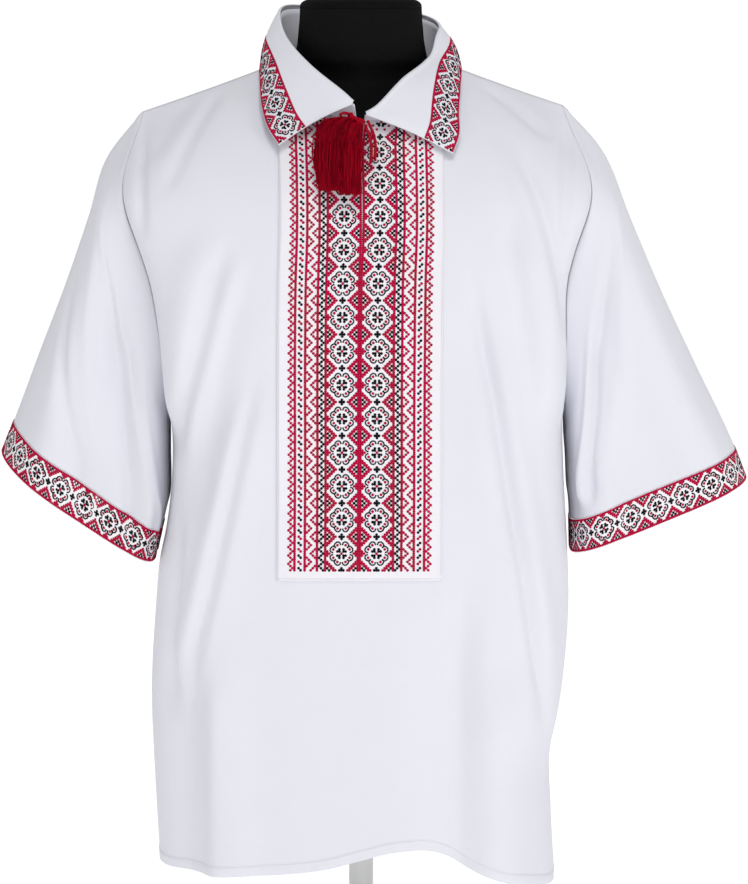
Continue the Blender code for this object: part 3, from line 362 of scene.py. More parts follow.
def fold_relief(folds: Table, place: Numbers, at: Numbers, eases: Pair,
                full_turn: float = 0.0) -> Numbers:
    """Height of all folds: for each row a soft ridge or trough round a slanted line.

    Args:
        folds: The folds' rows.
        place: Each point's place across the folds.
        at: Each point's place along the folds.
        eases: How sharply a fold rises at its start and dies away at its end.
        full_turn: The turn after which places repeat, if they do.

    Returns:
        The height at each point.
    """
    relief = np.zeros(np.broadcast(place, at).shape)
    for row in range(len(folds["height"])):
        fold = {name: column[row] for name, column in folds.items()}
        t = (at - fold["start_at"]) / (fold["end_at"] - fold["start_at"])
        centre = fold["start"] + (fold["end"] - fold["start"]) * t
        off = place - centre - fold["bow"] * np.sin(math.pi * np.clip(t, 0.0, 1.0))
        if full_turn:
            off = (off + full_turn / 2) % full_turn - full_turn / 2
        across = np.exp(-(off / fold["half_width"]) ** 2)
        relief += (fold["height"] * across * soft_step(t * eases[0])
                   * soft_step((1.0 - t) * eases[1]))
    return relief


def stack(x: Numbers, y: Numbers, z: Numbers) -> Numbers:
    """Join three coordinate arrays as points."""
    return np.stack(np.broadcast_arrays(x, y, z), axis=-1).astype(float)


def unit(vectors: Numbers) -> Numbers:
    """Scale vectors to length 1."""
    return vectors / np.maximum(np.linalg.norm(vectors, axis=-1, keepdims=True), 1e-12)


def grid_normals(points: Numbers) -> Numbers:
    """Unit normals of a grid: its step down crossed with its step across."""
    return unit(np.cross(np.gradient(points, axis=0), np.gradient(points, axis=1)))


def lengths_along(points: Numbers, axis: int) -> Numbers:
    """Distance run from the first point, along an axis of a grid."""
    steps = np.linalg.norm(np.diff(points, axis=axis), axis=-1)
    start = np.zeros_like(np.take(steps, [0], axis=axis))
    return np.concatenate([start, np.cumsum(steps, axis=axis)], axis=axis)


def steps_with(count: int, *extra: float) -> Numbers:
    """Even steps from 0 to 1, with further ones near an edge."""
    return np.unique(np.concatenate([np.linspace(0.0, 1.0, count + 1), extra]))


def route_through(places: Route, count: int) -> Numbers:
    """Points along a smooth curve through a route's places."""
    places = np.array(places)
    length = lengths_along(places, 0)
    share = length / length[-1]
    at = np.linspace(0.0, 1.0, count)
    return np.stack([smooth(at, share, places[:, axis]) for axis in range(3)], axis=-1)


# ---- meshes
def make_piece(name: str, points: Numbers, faces: Sequence[Numbers],
               uv: Optional[Sequence[Numbers]] = None) -> Object:
    """Put points and faces into a new mesh object.

    Args:
        name: The piece's name.
        points: Its points.
        faces: Arrays of faces with the same number of corners in each.
        uv: For each array of faces, a UV place for each corner.

    Returns:
        The object, smooth shaded and linked to the scene.
    """
    mesh = bpy.data.meshes.new(name)
    loops = np.concatenate([part.ravel() for part in faces]).astype(np.int32)
    sizes = np.concatenate([np.full(len(part), part.shape[1]) for part in faces])
    starts = np.concatenate([[0], np.cumsum(sizes)[:-1]]).astype(np.int32)
    mesh.vertices.add(len(points))
    mesh.vertices.foreach_set("co", points.astype(np.float32).ravel())
    mesh.loops.add(len(loops))
    mesh.loops.foreach_set("vertex_index", loops)
    mesh.polygons.add(len(sizes))
    mesh.polygons.foreach_set("loop_start", starts)
    if uv is not None:
        layer = mesh.uv_layers.new(name="UVMap")
        flat = np.concatenate([part.reshape(-1, 2) for part in uv])
        layer.data.foreach_set("uv", flat.astype(np.float32).ravel())
    mesh.update(calc_edges=True)
    mesh.validate()
    mesh.shade_smooth()
    piece = bpy.data.objects.new(name, mesh)
    bpy.context.scene.collection.objects.link(piece)
    return piece


def grid_corners(rows: int, columns: int) -> Numbers:
    """Corner numbers of a grid's quads, running down and then across."""
    index = np.arange(rows * columns).reshape(rows, columns)
    corners = (index[:-1, :-1], index[1:, :-1], index[1:, 1:], index[:-1, 1:])
    return np.stack(corners, axis=-1).reshape(-1, 4)


def metre_uv(points: Numbers, row: int, column: int) -> Numbers:
    """UV of a grid in metres: distances across and down from one row and column."""
    across = lengths_along(points, 1)
    down = lengths_along(points, 0)
    return np.stack([across - across[:, [column]], down[[row]] - down], axis=-1)


def join_grids(name: str, grids: Sequence[Numbers], marks: Optional[Sequence[Numbers]] = None,
               flip: bool = False) -> Object:
    """Join grids that share edge points into one open surface with UVs in metres.

    Points closer than a hundredth of a millimetre become one, which also closes a
    grid whose last column repeats its first.

    Args:
        name: The piece's name.
        grids: Grids of points.
        marks: Each grid's UV places, if they aren't 0 at its first point.
        flip: Turn the faces round.

    Returns:
        The surface, before it has a wall.
    """
    if marks is None:
        marks = [metre_uv(grid, 0, 0) for grid in grids]
    points = np.concatenate([grid.reshape(-1, 3) for grid in grids])
    uv = np.concatenate([mark.reshape(-1, 2) for mark in marks])
    quads = []
    before = 0
    for grid in grids:
        quads.append(grid_corners(*grid.shape[:2]) + before)
        before += grid.shape[0] * grid.shape[1]
    quads = np.concatenate(quads)
    if flip:
        quads = quads[:, ::-1]
    keys = np.round(points * 1e5).astype(np.int64)
    _, first, same = np.unique(keys, axis=0, return_index=True, return_inverse=True)
    return make_piece(name, points[first], [same.ravel()[quads]], [uv[quads]])


def read_at(want: Numbers, have: Numbers, path: Numbers) -> Numbers:
    """Points of a path at wanted lengths or shares, straight between its own."""
    return np.stack([np.interp(want, have, path[:, axis]) for axis in range(3)], axis=-1)


def read_columns(want: Numbers, have: Numbers, grid: Numbers) -> Numbers:
    """Every column of a grid read at the same wanted lengths."""
    return np.stack([read_at(want, have[:, column], grid[:, column])
                     for column in range(grid.shape[1])], axis=1)


def ease_rim(points: Numbers, normals: Numbers, edges: Sequence[str], gap: float,
             sink: float) -> Numbers:
    """Draw a grid's edges back from a seam and sink them into a shallow groove.

    Args:
        points: The grid, columns across and rows down.
        normals: Its outward unit normals.
        edges: Any of top, foot, first and last.
        gap: How far the edge is drawn back.
        sink: How deep the groove is.

    Returns:
        The grid with its edges eased.
    """
    eased = points.copy()
    spots = {"top": (np.s_[0], np.s_[1]), "foot": (np.s_[-1], np.s_[-2]),
             "first": (np.s_[:, 0], np.s_[:, 1]), "last": (np.s_[:, -1], np.s_[:, -2])}
    for edge in edges:
        rim, beside = spots[edge]
        eased[rim] += unit(points[beside] - points[rim]) * gap
        eased[rim] -= normals[rim] * sink
    return eased


def tube(path: Numbers, radii: Numbers, sides: int, strands: int = 0, twists: float = 0.0,
         groove: float = 0.0) -> Parts:
    """Carry a round or stranded profile along a path, and close both ends.

    The profile's radius is the path's radius less a groove between strands, which
    turn round the path a number of times from its start to its end.

    Args:
        path: Points of the centre line.
        radii: The radius at each point.
        sides: Points round the profile.
        strands: Strands seen round the profile.
        twists: Turns of the strands over the whole path.
        groove: Depth of the groove as a share of the radius.

    Returns:
        The parts.
    """
    ahead = unit(np.gradient(path, axis=0))
    frames = turned_frames(ahead)
    around = np.linspace(0.0, 2 * math.pi, sides, endpoint=False)[None]
    along = np.linspace(0.0, 1.0, len(path))[:, None]
    wave = 1.0 - np.abs(np.cos((around - 2 * math.pi * twists * along) * strands / 2))
    radius = radii[:, None] * (1.0 - groove * wave)
    spokes = (frames[0][:, None] * np.cos(around)[..., None]
              + frames[1][:, None] * np.sin(around)[..., None])
    points = path[:, None] + spokes * radius[..., None]
    quads = grid_corners(len(path), sides + 1)
    row, column = np.divmod(quads, sides + 1)
    faces = row * sides + column % sides
    length = lengths_along(path, 0)
    uv = np.stack(np.broadcast_arrays(np.linspace(0.0, 1.0, sides + 1)[None],
                                      length[:, None]), axis=-1).reshape(-1, 2)
    count = len(path) * sides
    caps = np.stack([np.arange(sides), np.arange(count - sides, count)[::-1]])
    cap_uv = np.zeros((2, sides, 2))
    return points.reshape(-1, 3), [faces[:, ::-1], caps[:, ::-1]], [uv[quads[:, ::-1]], cap_uv]


def turned_frames(ahead: Numbers) -> tuple[Numbers, Numbers]:
    """Two directions square to a path at each point, from one fixed direction."""
    fixed = np.array([0.31, -0.90, 0.30])
    side = unit(np.cross(ahead, fixed))
    return side, np.cross(ahead, side)


def merge_parts(parts: Sequence[Parts]) -> Parts:
    """Put several sets of points, faces and UV places into one."""
    points, faces, uv = [], [], []
    before = 0
    for part_points, part_faces, part_uv in parts:
        points.append(part_points)
        faces += [array + before for array in part_faces]
        uv += part_uv
        before += len(part_points)
    return np.concatenate(points), faces, uv


# ---- materials
Input = Union[float, Sequence[float], Socket, "Value"]


class Value:
    """A number that changes over a surface, with the operators of arithmetic."""

    def __init__(self, board: "Board", socket: Socket) -> None:
        """Keep the socket that gives the number."""
        self.board = board
        self.socket = socket

    def _sum(self, operation: str, first: Input, second: Input) -> "Value":
        """Add a Math node for an operation on two inputs."""
        node = self.board.node("ShaderNodeMath", {"operation": operation},
                               {0: first, 1: second})
        return Value(self.board, node.outputs[0])

    def __add__(self, other: Input) -> "Value":
        """This plus another."""
        return self._sum("ADD", self, other)

    __radd__ = __add__

    def __mul__(self, other: Input) -> "Value":
        """This times another."""
        return self._sum("MULTIPLY", self, other)

    __rmul__ = __mul__

    def __sub__(self, other: Input) -> "Value":
        """This less another."""
        return self._sum("SUBTRACT", self, other)

    def __rsub__(self, other: Input) -> "Value":
        """Another less this."""
        return self._sum("SUBTRACT", other, self)

    def sine(self) -> "Value":
        """The sine of this."""
        return self._sum("SINE", self, 0.0)


class Board:
    """A material's node tree, with a Principled shader to wire up."""

    def __init__(self, name: str) -> None:
        """Make the material with its shader."""
        self.material = bpy.data.materials.new(name)
        self.material.use_nodes = True
        self.tree = self.material.node_tree
        self.shader = self.tree.nodes["Principled BSDF"]

    def node(self, kind: str, settings: Optional[dict[str, object]] = None,
             inputs: Optional[dict[Union[int, str], Input]] = None) -> bpy.types.Node:
        """Add a node.

        Args:
            kind: The node's type.
            settings: Properties that are set first.
            inputs: Values or links for its input sockets, by number or name.

        Returns:
            The node.
        """
        made = self.tree.nodes.new(kind)
        for name, value in (settings or {}).items():
            setattr(made, name, value)
        for key, value in (inputs or {}).items():
            self.feed(made.inputs[key], value)
        return made

    def feed(self, socket: Socket, value: Input) -> None:
        """Link an input socket, or set its value."""
        if isinstance(value, Value):
            self.tree.links.new(value.socket, socket)
        elif isinstance(value, Socket):
            self.tree.links.new(value, socket)
        elif isinstance(value, tuple) and len(value) == 3 and socket.type == "RGBA":
            socket.default_value = (*value, 1.0)
        else:
            socket.default_value = value

    def uv(self) -> tuple[Value, Value]:
        """The two UV coordinates of the piece."""
        place = self.node("ShaderNodeUVMap", {"uv_map": "UVMap"}).outputs[0]
        parts = self.node("ShaderNodeSeparateXYZ", None, {0: place})
        return Value(self, parts.outputs[0]), Value(self, parts.outputs[1])

    def object_place(self, stretch: Place = (1.0, 1.0, 1.0)) -> Socket:
        """Object coordinates, scaled along each axis."""
        place = self.node("ShaderNodeTexCoord").outputs["Object"]
        return self.node("ShaderNodeMapping", None, {0: place, "Scale": stretch}).outputs[0]

    def noise(self, place: Socket, scale: float, detail: float) -> Value:
        """Soft noise from 0 to 1."""
        inputs = {"Vector": place, "Scale": scale, "Detail": detail}
        return Value(self, self.node("ShaderNodeTexNoise", None, inputs).outputs["Fac"])

    def mix(self, share: Input, first: Sequence[float], second: Sequence[float]) -> Socket:
        """A colour between two, by a share from 0 to 1."""
        made = self.node("ShaderNodeMix", {"data_type": "RGBA"})
        self.feed(made.inputs[0], share)
        self.feed(made.inputs[6], tuple(first))
        self.feed(made.inputs[7], tuple(second))
        return made.outputs[2]

    def bump(self, height: Value, strength: float, depth: float,
             under: Optional[Socket] = None) -> Socket:
        """Normals from a height, over other normals if given."""
        inputs = {"Strength": strength, "Distance": depth, "Height": height}
        if under is not None:
            inputs["Normal"] = under
        return self.node("ShaderNodeBump", None, inputs).outputs[0]

    def set(self, **inputs: Input) -> None:
        """Feed the shader's sockets, named with underscores for spaces."""
        for name, value in inputs.items():
            self.feed(self.shader.inputs[name.replace("_", " ")], value)


@dataclass(frozen=True)
class Cotton:
    """Plain-woven cotton: threads over and under, faint slubs and soft crumples."""

    name: str
    colour: Place
    shade: Place
    pitch: float
    weave: float = 0.25
    crumple: float = 0.35
    weave_depth: float = 0.00012
    crumple_depth: float = 0.0012
    slub_scale: float = 110.0
    slub_stretch: Place = (1.0, 1.0, 14.0)
    soft_scale: float = 34.0
    roughness: float = 0.9
    sheen: float = 0.08
    specular: float = 0.15

    def make(self) -> Material:
        """Weave is the product of sines across and down the cloth.

        Returns:
            The material.
        """
        board = Board(self.name)
        across, down = board.uv()
        turn = 2 * math.pi / self.pitch
        threads = (across * turn).sine() * (down * turn).sine()
        slub = board.noise(board.object_place(self.slub_stretch), self.slub_scale, 2.0)
        soft = board.noise(board.object_place(), self.soft_scale, 4.0)
        colour = board.mix(slub * 0.5 + soft * 0.5, self.colour, self.shade)
        crumpled = board.bump(soft, self.crumple, self.crumple_depth)
        normal = board.bump(threads + slub * 0.8, self.weave, self.weave_depth, crumpled)
        board.set(Base_Color=colour, Roughness=self.roughness, Normal=normal,
                  Sheen_Weight=self.sheen, Sheen_Roughness=0.5,
                  Specular_IOR_Level=self.specular)
        return board.material


@dataclass(frozen=True)
class Yarn:
    """Twisted thread: bright where strands stand up and darker between them."""

    name: str
    colour: Place
    shade: Place
    ply_pitch: float = 0.0009
    grain: float = 700.0
    relief: float = 0.35
    depth: float = 0.0001
    roughness: float = 0.75
    specular: float = 0.12

    def make(self) -> Material:
        """Strand height is a slanted sine of the UV place, colour a fine noise.

        Returns:
            The material.
        """
        board = Board(self.name)
        around, along = board.uv()
        twist = (along * (2 * math.pi / self.ply_pitch) + around * (2 * math.pi)).sine()
        grain = board.noise(board.object_place(), self.grain, 2.0)
        colour = board.mix(grain, self.shade, self.colour)
        normal = board.bump(twist, self.relief, self.depth)
        board.set(Base_Color=colour, Roughness=self.roughness, Normal=normal,
                  Specular_IOR_Level=self.specular)
        return board.material


@dataclass(frozen=True)
class Plush:
    """The strands of a tassel: each thread has its own depth of colour."""

    name: str
    colour: Place
    shade: Place
    own_share: float = 0.65
    drift_share: float = 0.5
    darker: float = 0.08
    drift_scale: float = 160.0
    drift_stretch: Place = (1.0, 1.0, 0.25)
    ply: float = 4200.0
    relief: float = 0.3
    depth: float = 0.00008
    roughness: float = 0.7
    specular: float = 0.02

    def make(self) -> Material:
        """UV across holds a number of each thread's own, and UV along its length.

        Returns:
            The material.
        """
        board = Board(self.name)
        own, along = board.uv()
        drift = board.noise(board.object_place(self.drift_stretch), self.drift_scale, 2.0)
        share = own * self.own_share + drift * self.drift_share - self.darker
        colour = board.mix(share, self.shade, self.colour)
        normal = board.bump((along * self.ply).sine(), self.relief, self.depth)
        board.set(Base_Color=colour, Roughness=self.roughness, Normal=normal,
                  Specular_IOR_Level=self.specular)
        return board.material


@dataclass(frozen=True)
class Jersey:
    """Fine black knit stretched over the dress form."""

    name: str
    colour: Place
    roughness: float
    rib_pitches: Pair = (0.0011, 0.0015)
    dust_scale: float = 240.0
    lighter: float = 1.7
    relief: float = 0.3
    depth: float = 0.0001
    specular: float = 0.06

    def make(self) -> Material:
        """Knit ribs are fine sines round the form over a soft noise.

        Returns:
            The material.
        """
        board = Board(self.name)
        around, up = board.uv()
        ribs = [(way * (2 * math.pi / pitch)).sine()
                for way, pitch in zip((around, up), self.rib_pitches)]
        knit = ribs[0] * ribs[1]
        dust = board.noise(board.object_place(), self.dust_scale, 3.0)
        lighter = tuple(value * self.lighter for value in self.colour)
        board.set(Base_Color=board.mix(dust, self.colour, lighter), Roughness=self.roughness,
                  Normal=board.bump(knit + dust, self.relief, self.depth),
                  Specular_IOR_Level=self.specular)
        return board.material


@dataclass(frozen=True)
class Enamel:
    """White stove enamel with a faint orange peel."""

    name: str
    colour: Place
    peel_scale: float = 420.0
    drift_scale: float = 18.0
    darker: float = 0.96
    roughness: float = 0.24
    roughness_drift: float = 0.12
    relief: float = 0.12
    depth: float = 0.0002

    def make(self) -> Material:
        """A low bump of soft noise, and a roughness that drifts a little."""
        board = Board(self.name)
        peel = board.noise(board.object_place(), self.peel_scale, 2.0)
        drift = board.noise(board.object_place(), self.drift_scale, 3.0)
        shade = tuple(value * self.darker for value in self.colour)
        board.set(Base_Color=board.mix(drift, self.colour, shade),
                  Roughness=drift * self.roughness_drift + self.roughness,
                  Normal=board.bump(peel, self.relief, self.depth))
        return board.material


@dataclass(frozen=True)
class StudioWhite:
    """The matt white paper that the stand is on."""

    name: str
    colour: Place
    glow: float

    def make(self) -> Material:
        """Matt white that gives a little light of its own, so that it stays pale."""
        board = Board(self.name)
        tooth = board.noise(board.object_place(), 60.0, 4.0)
        board.set(Base_Color=self.colour, Roughness=0.95, Normal=board.bump(tooth, 0.05, 0.001),
                  Emission_Color=(1.0, 1.0, 1.0), Emission_Strength=self.glow,
                  Specular_IOR_Level=0.0)
        return board.material


class Wardrobe:
    """Every finish of the part, each made once."""

    def __init__(self) -> None:
        """Make the materials."""
        white = (0.80, 0.805, 0.865)
        grey = (0.765, 0.77, 0.83)
        self.cotton = Cotton("white_cotton", white, grey, 0.0007).make()
        self.insert_cotton = Cotton("insert_cotton", (0.90, 0.885, 0.93), (0.83, 0.81, 0.865),
                                    0.0010, 0.35, 0.15).make()
        self.band_cotton = Cotton("band_cotton", (0.96, 0.945, 0.975), (0.90, 0.885, 0.92),
                                  0.0010, 0.35, 0.15).make()
        self.sewing = Yarn("white_sewing_thread", (0.84, 0.855, 0.89), (0.74, 0.76, 0.80)).make()
        self.thread = {
            Thread.RED: Yarn("red_thread", (0.58, 0.004, 0.060), (0.38, 0.003, 0.040)).make(),
            Thread.BLACK: Yarn("black_thread", (0.007, 0.007, 0.009), (0.003, 0.003, 0.004)).make(),
        }
        self.cord = Yarn("red_cord", (0.50, 0.004, 0.024), (0.24, 0.001, 0.012), 0.0016).make()
        self.plush = Plush("red_plush", (0.52, 0.004, 0.021), (0.14, 0.001, 0.007)).make()
        self.jersey = Jersey("black_jersey", (0.0042, 0.0042, 0.0044), 0.9).make()
        self.cap = Jersey("black_cap", (0.003, 0.003, 0.003), 0.75).make()
        self.enamel = Enamel("white_enamel", (0.93, 0.93, 0.92)).make()


def dress(piece: Object, material: Material, slot: str, *nodes: str) -> Object:
    """Give a piece its finish, set it on the body and hide the solids it stands for.

    Args:
        piece: The piece, in place.
        material: Its finish.
        slot: The material slot's name. Not used.
        nodes: The solids that it replaces.

    Returns:
        The piece.
    """
    piece.data.materials.clear()
    piece.data.materials.append(material)
    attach(piece, "root")
    if nodes:
        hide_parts(*nodes)
    log.info("%s: %d faces", piece.name, len(piece.data.polygons))
    return piece


def sew_cloth(node: str, grids: Sequence[Numbers], marks: Sequence[Numbers], wall: float,
              material: Material, flip: bool = False) -> Object:
    """Make a piece of cloth: grids joined, thickened inwards and dressed.

    Args:
        node: The solid that it stands for.
        grids: Its outer face as grids of points.
        marks: Each grid's UV places.
        wall: Its thickness.
        material: Its finish.
        flip: Turn the faces round.

    Returns:
        The piece, named after the solid.
    """
    name = "insert_cloth" if node == "chest_insert" else f"{node}_cloth"
    piece = join_grids(name, grids, marks, flip)
    thickness = piece.modifiers.new("wall", "SOLIDIFY")
    thickness.thickness = wall
    thickness.offset = -1.0
    thickness.use_rim = True
    return dress(piece, material, "white_cotton", node)


# ---- body
@dataclass
class Body:
    """The front and back: hung from the neck and shoulder seams, open at the hem."""

    wall: float = 0.0016
    chest_line: float = 0.765
    chest_pull: float = 0.10
    chest_probe: float = 0.01
    hem_line: float = 0.10
    insert_foot: float = 0.399
    insert_half: float = 0.0825
    insert_share: float = 0.36
    neck_side: Place = (0.0825, 0.006, 0.9070)
    neck_centres: dict[Side, Pair] = field(default_factory=lambda: {
        Side.FRONT: (-0.079, 0.8505), Side.BACK: (0.070, 0.915)})
    shoulder_tips: dict[Hand, Pair] = field(default_factory=lambda: {
        Hand.LEFT: (0.2204, 0.8575), Hand.RIGHT: (0.2034, 0.8640)})
    shoulder_hollow: float = 0.001
    armhole_half_depth: float = 0.070
    armhole_squareness: float = 3.0
    fold_eases: Pair = (4.0, 4.0)
    side_fade: float = 8.0
    shoulder_fade: float = 0.03
    armpit: float = 0.5558571428571428
    armpit_softness: float = 1.6
    vent_top: float = 0.170
    vent_height: float = 0.075
    vent_half_gap: float = 0.004
    slit_foot: float = 0.560
    slit_half_gap: float = 0.00012
    slit_top_opening: float = 0.0030
    slit_top_reach: float = 0.035
    chest_ease: int = 8
    yoke_rows: int = 26
    chest_rows: int = 91
    skirt_rows: int = 66
    insert_columns: int = 20
    side_columns: int = 50
    seam_gap: float = 0.0003
    seam_sink: float = 0.0004
    hem_width: float = 0.011
    hem_rise: float = 0.0006
    hem_step: float = 0.0015
    hem_rows: tuple[float, ...] = (0.950, 0.957, 0.9625, 0.966, 0.996)
    side_column: float = 0.992

    def yoke_steps(self) -> Numbers:
        """Steps down the yoke, with one set close to its seam."""
        return steps_with(self.yoke_rows, 0.006)

    def insert_steps(self) -> Numbers:
        """Steps over the insert's share of a half, with two set close to the slit."""
        return steps_with(self.insert_columns, 0.008, 0.02)

    def armhole_depth(self, z: Numbers, share: Numbers) -> Numbers:
        """How far cloth stands from the side plane: an oblong armhole, and a vent.

        The superellipse closes sharply at the edge itself (share 1) and more and more
        softly further in: its power is rounded off by a hyperbola.
        """
        top = self.shoulder_tips[Hand.LEFT][1]
        middle = (top + self.armpit) / 2
        inside = 1.0 - np.abs((z - middle) / (top - middle)) ** self.armhole_squareness
        soft = self.armpit_softness * np.clip(1.0 - share, 0.0, 1.0)
        inside = (inside + np.sqrt(inside ** 2 + soft ** 2)) / 2
        vent = np.clip((self.vent_top - z) / self.vent_height, 0.0, 1.0)
        depth = self.armhole_half_depth * inside ** (1 / self.armhole_squareness)
        return depth + self.vent_half_gap * vent

    def ring(self, columns: Numbers, z: Numbers, side: Side, hand: Hand) -> Numbers:
        """Points at heights z: flat over the insert, then a superellipse to the side.

        Args:
            columns: Column shares: 0 at the centre line, 1 at the side.
            z: Heights.
            side: The front or the back.
            hand: The left or the right half.

        Returns:
            The points.
        """
        half = by_height(z, SIDE_LINES, hand.word)
        depth = by_height(z, BODY_DEPTHS, side.word)
        power = by_height(z, BODY_DEPTHS, "squareness")
        share = np.abs(columns)
        edge = self.armhole_depth(z, share)
        insert_angle = np.arccos((self.insert_half / half) ** (power / 2))
        angle = insert_angle * (1.0 - share) / (1.0 - self.insert_share)
        flat_x = self.insert_half * share / self.insert_share
        round_x = half * np.cos(np.clip(angle, 0.0, math.pi / 2)) ** (2 / power)
        x = np.where(share <= self.insert_share, flat_x, round_x)
        reach = np.clip(1.0 - (x / half) ** power, 0.0, 1.0) ** (1 / power)
        y = edge + (depth - edge) * reach
        return stack(hand.value * x, side.value * y, z)

    def top_edge(self, columns: Numbers, side: Side, hand: Hand) -> Numbers:
        """The neck curve over the insert's share, then the straight shoulder seam.

        Args:
            columns: Column shares: 0 at the centre line, 1 at the side.
            side: The front or the back.
            hand: The left or the right half.

        Returns:
            Points along the edge.
        """
        share = np.abs(columns)
        angle = np.clip(share / self.insert_share, 0.0, 1.0) * math.pi / 2
        along = np.clip((share - self.insert_share) / (1.0 - self.insert_share), 0.0, 1.0)
        tip_x, tip_z = self.shoulder_tips[hand]
        centre_y, centre_z = self.neck_centres[side]
        side_x, side_y, side_z = self.neck_side
        x = side_x * np.sin(angle) + (tip_x - side_x) * along
        y = side_y * (1.0 - along) + (centre_y - side_y) * np.cos(angle)
        z = side_z + (centre_z - side_z) * np.cos(angle) ** 1.5
        z = z + (tip_z - side_z) * along - self.shoulder_hollow * np.sin(math.pi * along)
        return stack(hand.value * x, y, z)

    def half_panel(self, columns: Numbers, side: Side, hand: Hand) -> Numbers:
        """One half from the neck and shoulder down to the hem, before its folds.

        The yoke's columns are curves that leave the top edge with a given pull and
        arrive at the chest line along the ring below it.

        Args:
            columns: Column shares: 0 at the centre line, 1 at the side.
            side: The front or the back.
            hand: The left or the right half.

        Returns:
            The half as a grid.
        """
        top = self.top_edge(columns, side, hand)[None]
        chest_z = np.full_like(columns, self.chest_line)
        chest = self.ring(columns, chest_z, side, hand)[None]
        lower = self.ring(columns, chest_z - self.chest_probe, side, hand)[None]
        arrive = (lower - chest) / self.chest_probe * self.chest_pull
        pull, share = PULLS[side], np.abs(columns)
        leave = stack(0.0, smooth(share, pull["share"], pull["y"]),
                      smooth(share, pull["share"], pull["z"]))[None]
        t = self.yoke_steps()[:, None, None]
        yoke = (top * (2 * t ** 3 - 3 * t ** 2 + 1) + chest * (3 * t ** 2 - 2 * t ** 3)
                + leave * (t ** 3 - 2 * t ** 2 + t) + arrive * (t ** 3 - t ** 2))
        down = steps_with(self.chest_rows)[1:, None]
        middle_z = self.chest_line + (self.insert_foot - self.chest_line) * down
        wide = np.broadcast_to(columns, (len(middle_z), len(columns)))
        middle = self.ring(wide, middle_z + 0 * wide, side, hand)
        foot = self.ring(columns, np.full_like(columns, self.hem_line), side, hand)[:, 0]
        hem_z = smooth(foot, HEMS[side]["x"], HEMS[side]["z"])
        down = steps_with(self.skirt_rows, *self.hem_rows)[1:, None]
        skirt_z = self.insert_foot + (hem_z - self.insert_foot) * down
        skirt = self.ring(np.broadcast_to(columns, skirt_z.shape), skirt_z, side, hand)
        return self.ease_chest(np.concatenate([yoke, middle, skirt]))

    def ease_chest(self, points: Numbers) -> Numbers:
        """Even out the bend at the chest line by repeated averaging down the rows."""
        points = points.copy()
        last = len(self.yoke_steps()) + 2 * self.chest_ease
        for _ in range(self.chest_ease ** 2):
            middle = (points[:last - 1] + points[2:last + 1]) / 2
            points[1:last] += (middle - points[1:last]) * 0.5
        return points

    def folds(self, x: Numbers, z: Numbers, side: Side) -> Numbers:
        """Height of all of a panel's folds."""
        return fold_relief(BODY_FOLDS[side], x, z, self.fold_eases)

    def sway(self, z: Numbers) -> Numbers:
        """How far the middle of the front wanders sideways from the plane of symmetry."""
        return smooth(z, SWAY["z"], SWAY["x"])

    def slit_opening(self, z: Numbers) -> Numbers:
        """Half the width of the neck slit: open at the collar, closed lower down."""
        down = (self.neck_centres[Side.FRONT][1] - z) / self.slit_top_reach
        return self.slit_half_gap + self.slit_top_opening * (1.0 - soft_step(down))

    def columns(self, hand: Hand) -> Numbers:
        """Column shares of a half panel, set closer at the slit and at the side seam."""
        insert = self.insert_share * self.insert_steps()
        side = steps_with(self.side_columns, self.side_column)[1:]
        outer = self.insert_share + (1.0 - self.insert_share) * side
        shares = np.concatenate([insert, outer])
        return -shares[::-1] if hand is Hand.LEFT else shares

    def panel(self, side: Side) -> Halves:
        """Both halves of the front or the back with their folds, as grids.

        Args:
            side: The front or the back.

        Returns:
            A grid for each half.
        """
        left, right = self.columns(Hand.LEFT), self.columns(Hand.RIGHT)
        whole = np.concatenate([self.half_panel(left, side, Hand.LEFT),
                                self.half_panel(right, side, Hand.RIGHT)[:, 1:]], axis=1)
        columns = np.concatenate([left, right[1:]])
        relief = self.folds(whole[..., 0], whole[..., 2], side)
        relief = relief * soft_step((1.0 - np.abs(columns)) * self.side_fade)
        relief = relief * soft_step(lengths_along(whole, 0) / self.shoulder_fade)
        whole = whole - side.value * grid_normals(whole) * relief[..., None]
        if side is Side.FRONT:
            whole[..., 0] += self.sway(whole[..., 2]) * (1.0 - columns ** 2) ** 2
        whole = self.turn_up_hem(whole, side)
        centre = len(left) - 1
        halves = {Hand.LEFT: whole[:, :centre + 1].copy(), Hand.RIGHT: whole[:, centre:].copy()}
        if side is Side.FRONT:
            for hand, shares in ((Hand.LEFT, left), (Hand.RIGHT, right)):
                half = halves[hand]
                inner = np.clip(1.0 - np.abs(shares) / self.insert_share, 0.0, 1.0)
                open_rows = half[..., 2] > self.slit_foot
                half[..., 0] += hand.value * self.slit_opening(half[..., 2]) * inner * open_rows
        return halves

    def turn_up_hem(self, points: Numbers, side: Side) -> Numbers:
        """Raise the turned-up hem's width by a second thickness of cloth."""
        down = lengths_along(points, 0)
        from_edge = down[-1:] - down
        rise = soft_step((self.hem_width - from_edge) / self.hem_step) * self.hem_rise
        return points - side.value * grid_normals(points) * rise[..., None]

    def seam_rows(self) -> int:
        """Rows of a panel's side edge that belong to the armhole."""
        chest = np.sum(self.chest_line + (self.insert_foot - self.chest_line)
                       * steps_with(self.chest_rows)[1:] > self.armpit - 1e-4)
        return len(self.yoke_steps()) + int(chest)

    def outward(self, half: Numbers, side: Side) -> Numbers:
        """Unit normals of a half, pointing out of the shirt."""
        return -side.value * grid_normals(half)

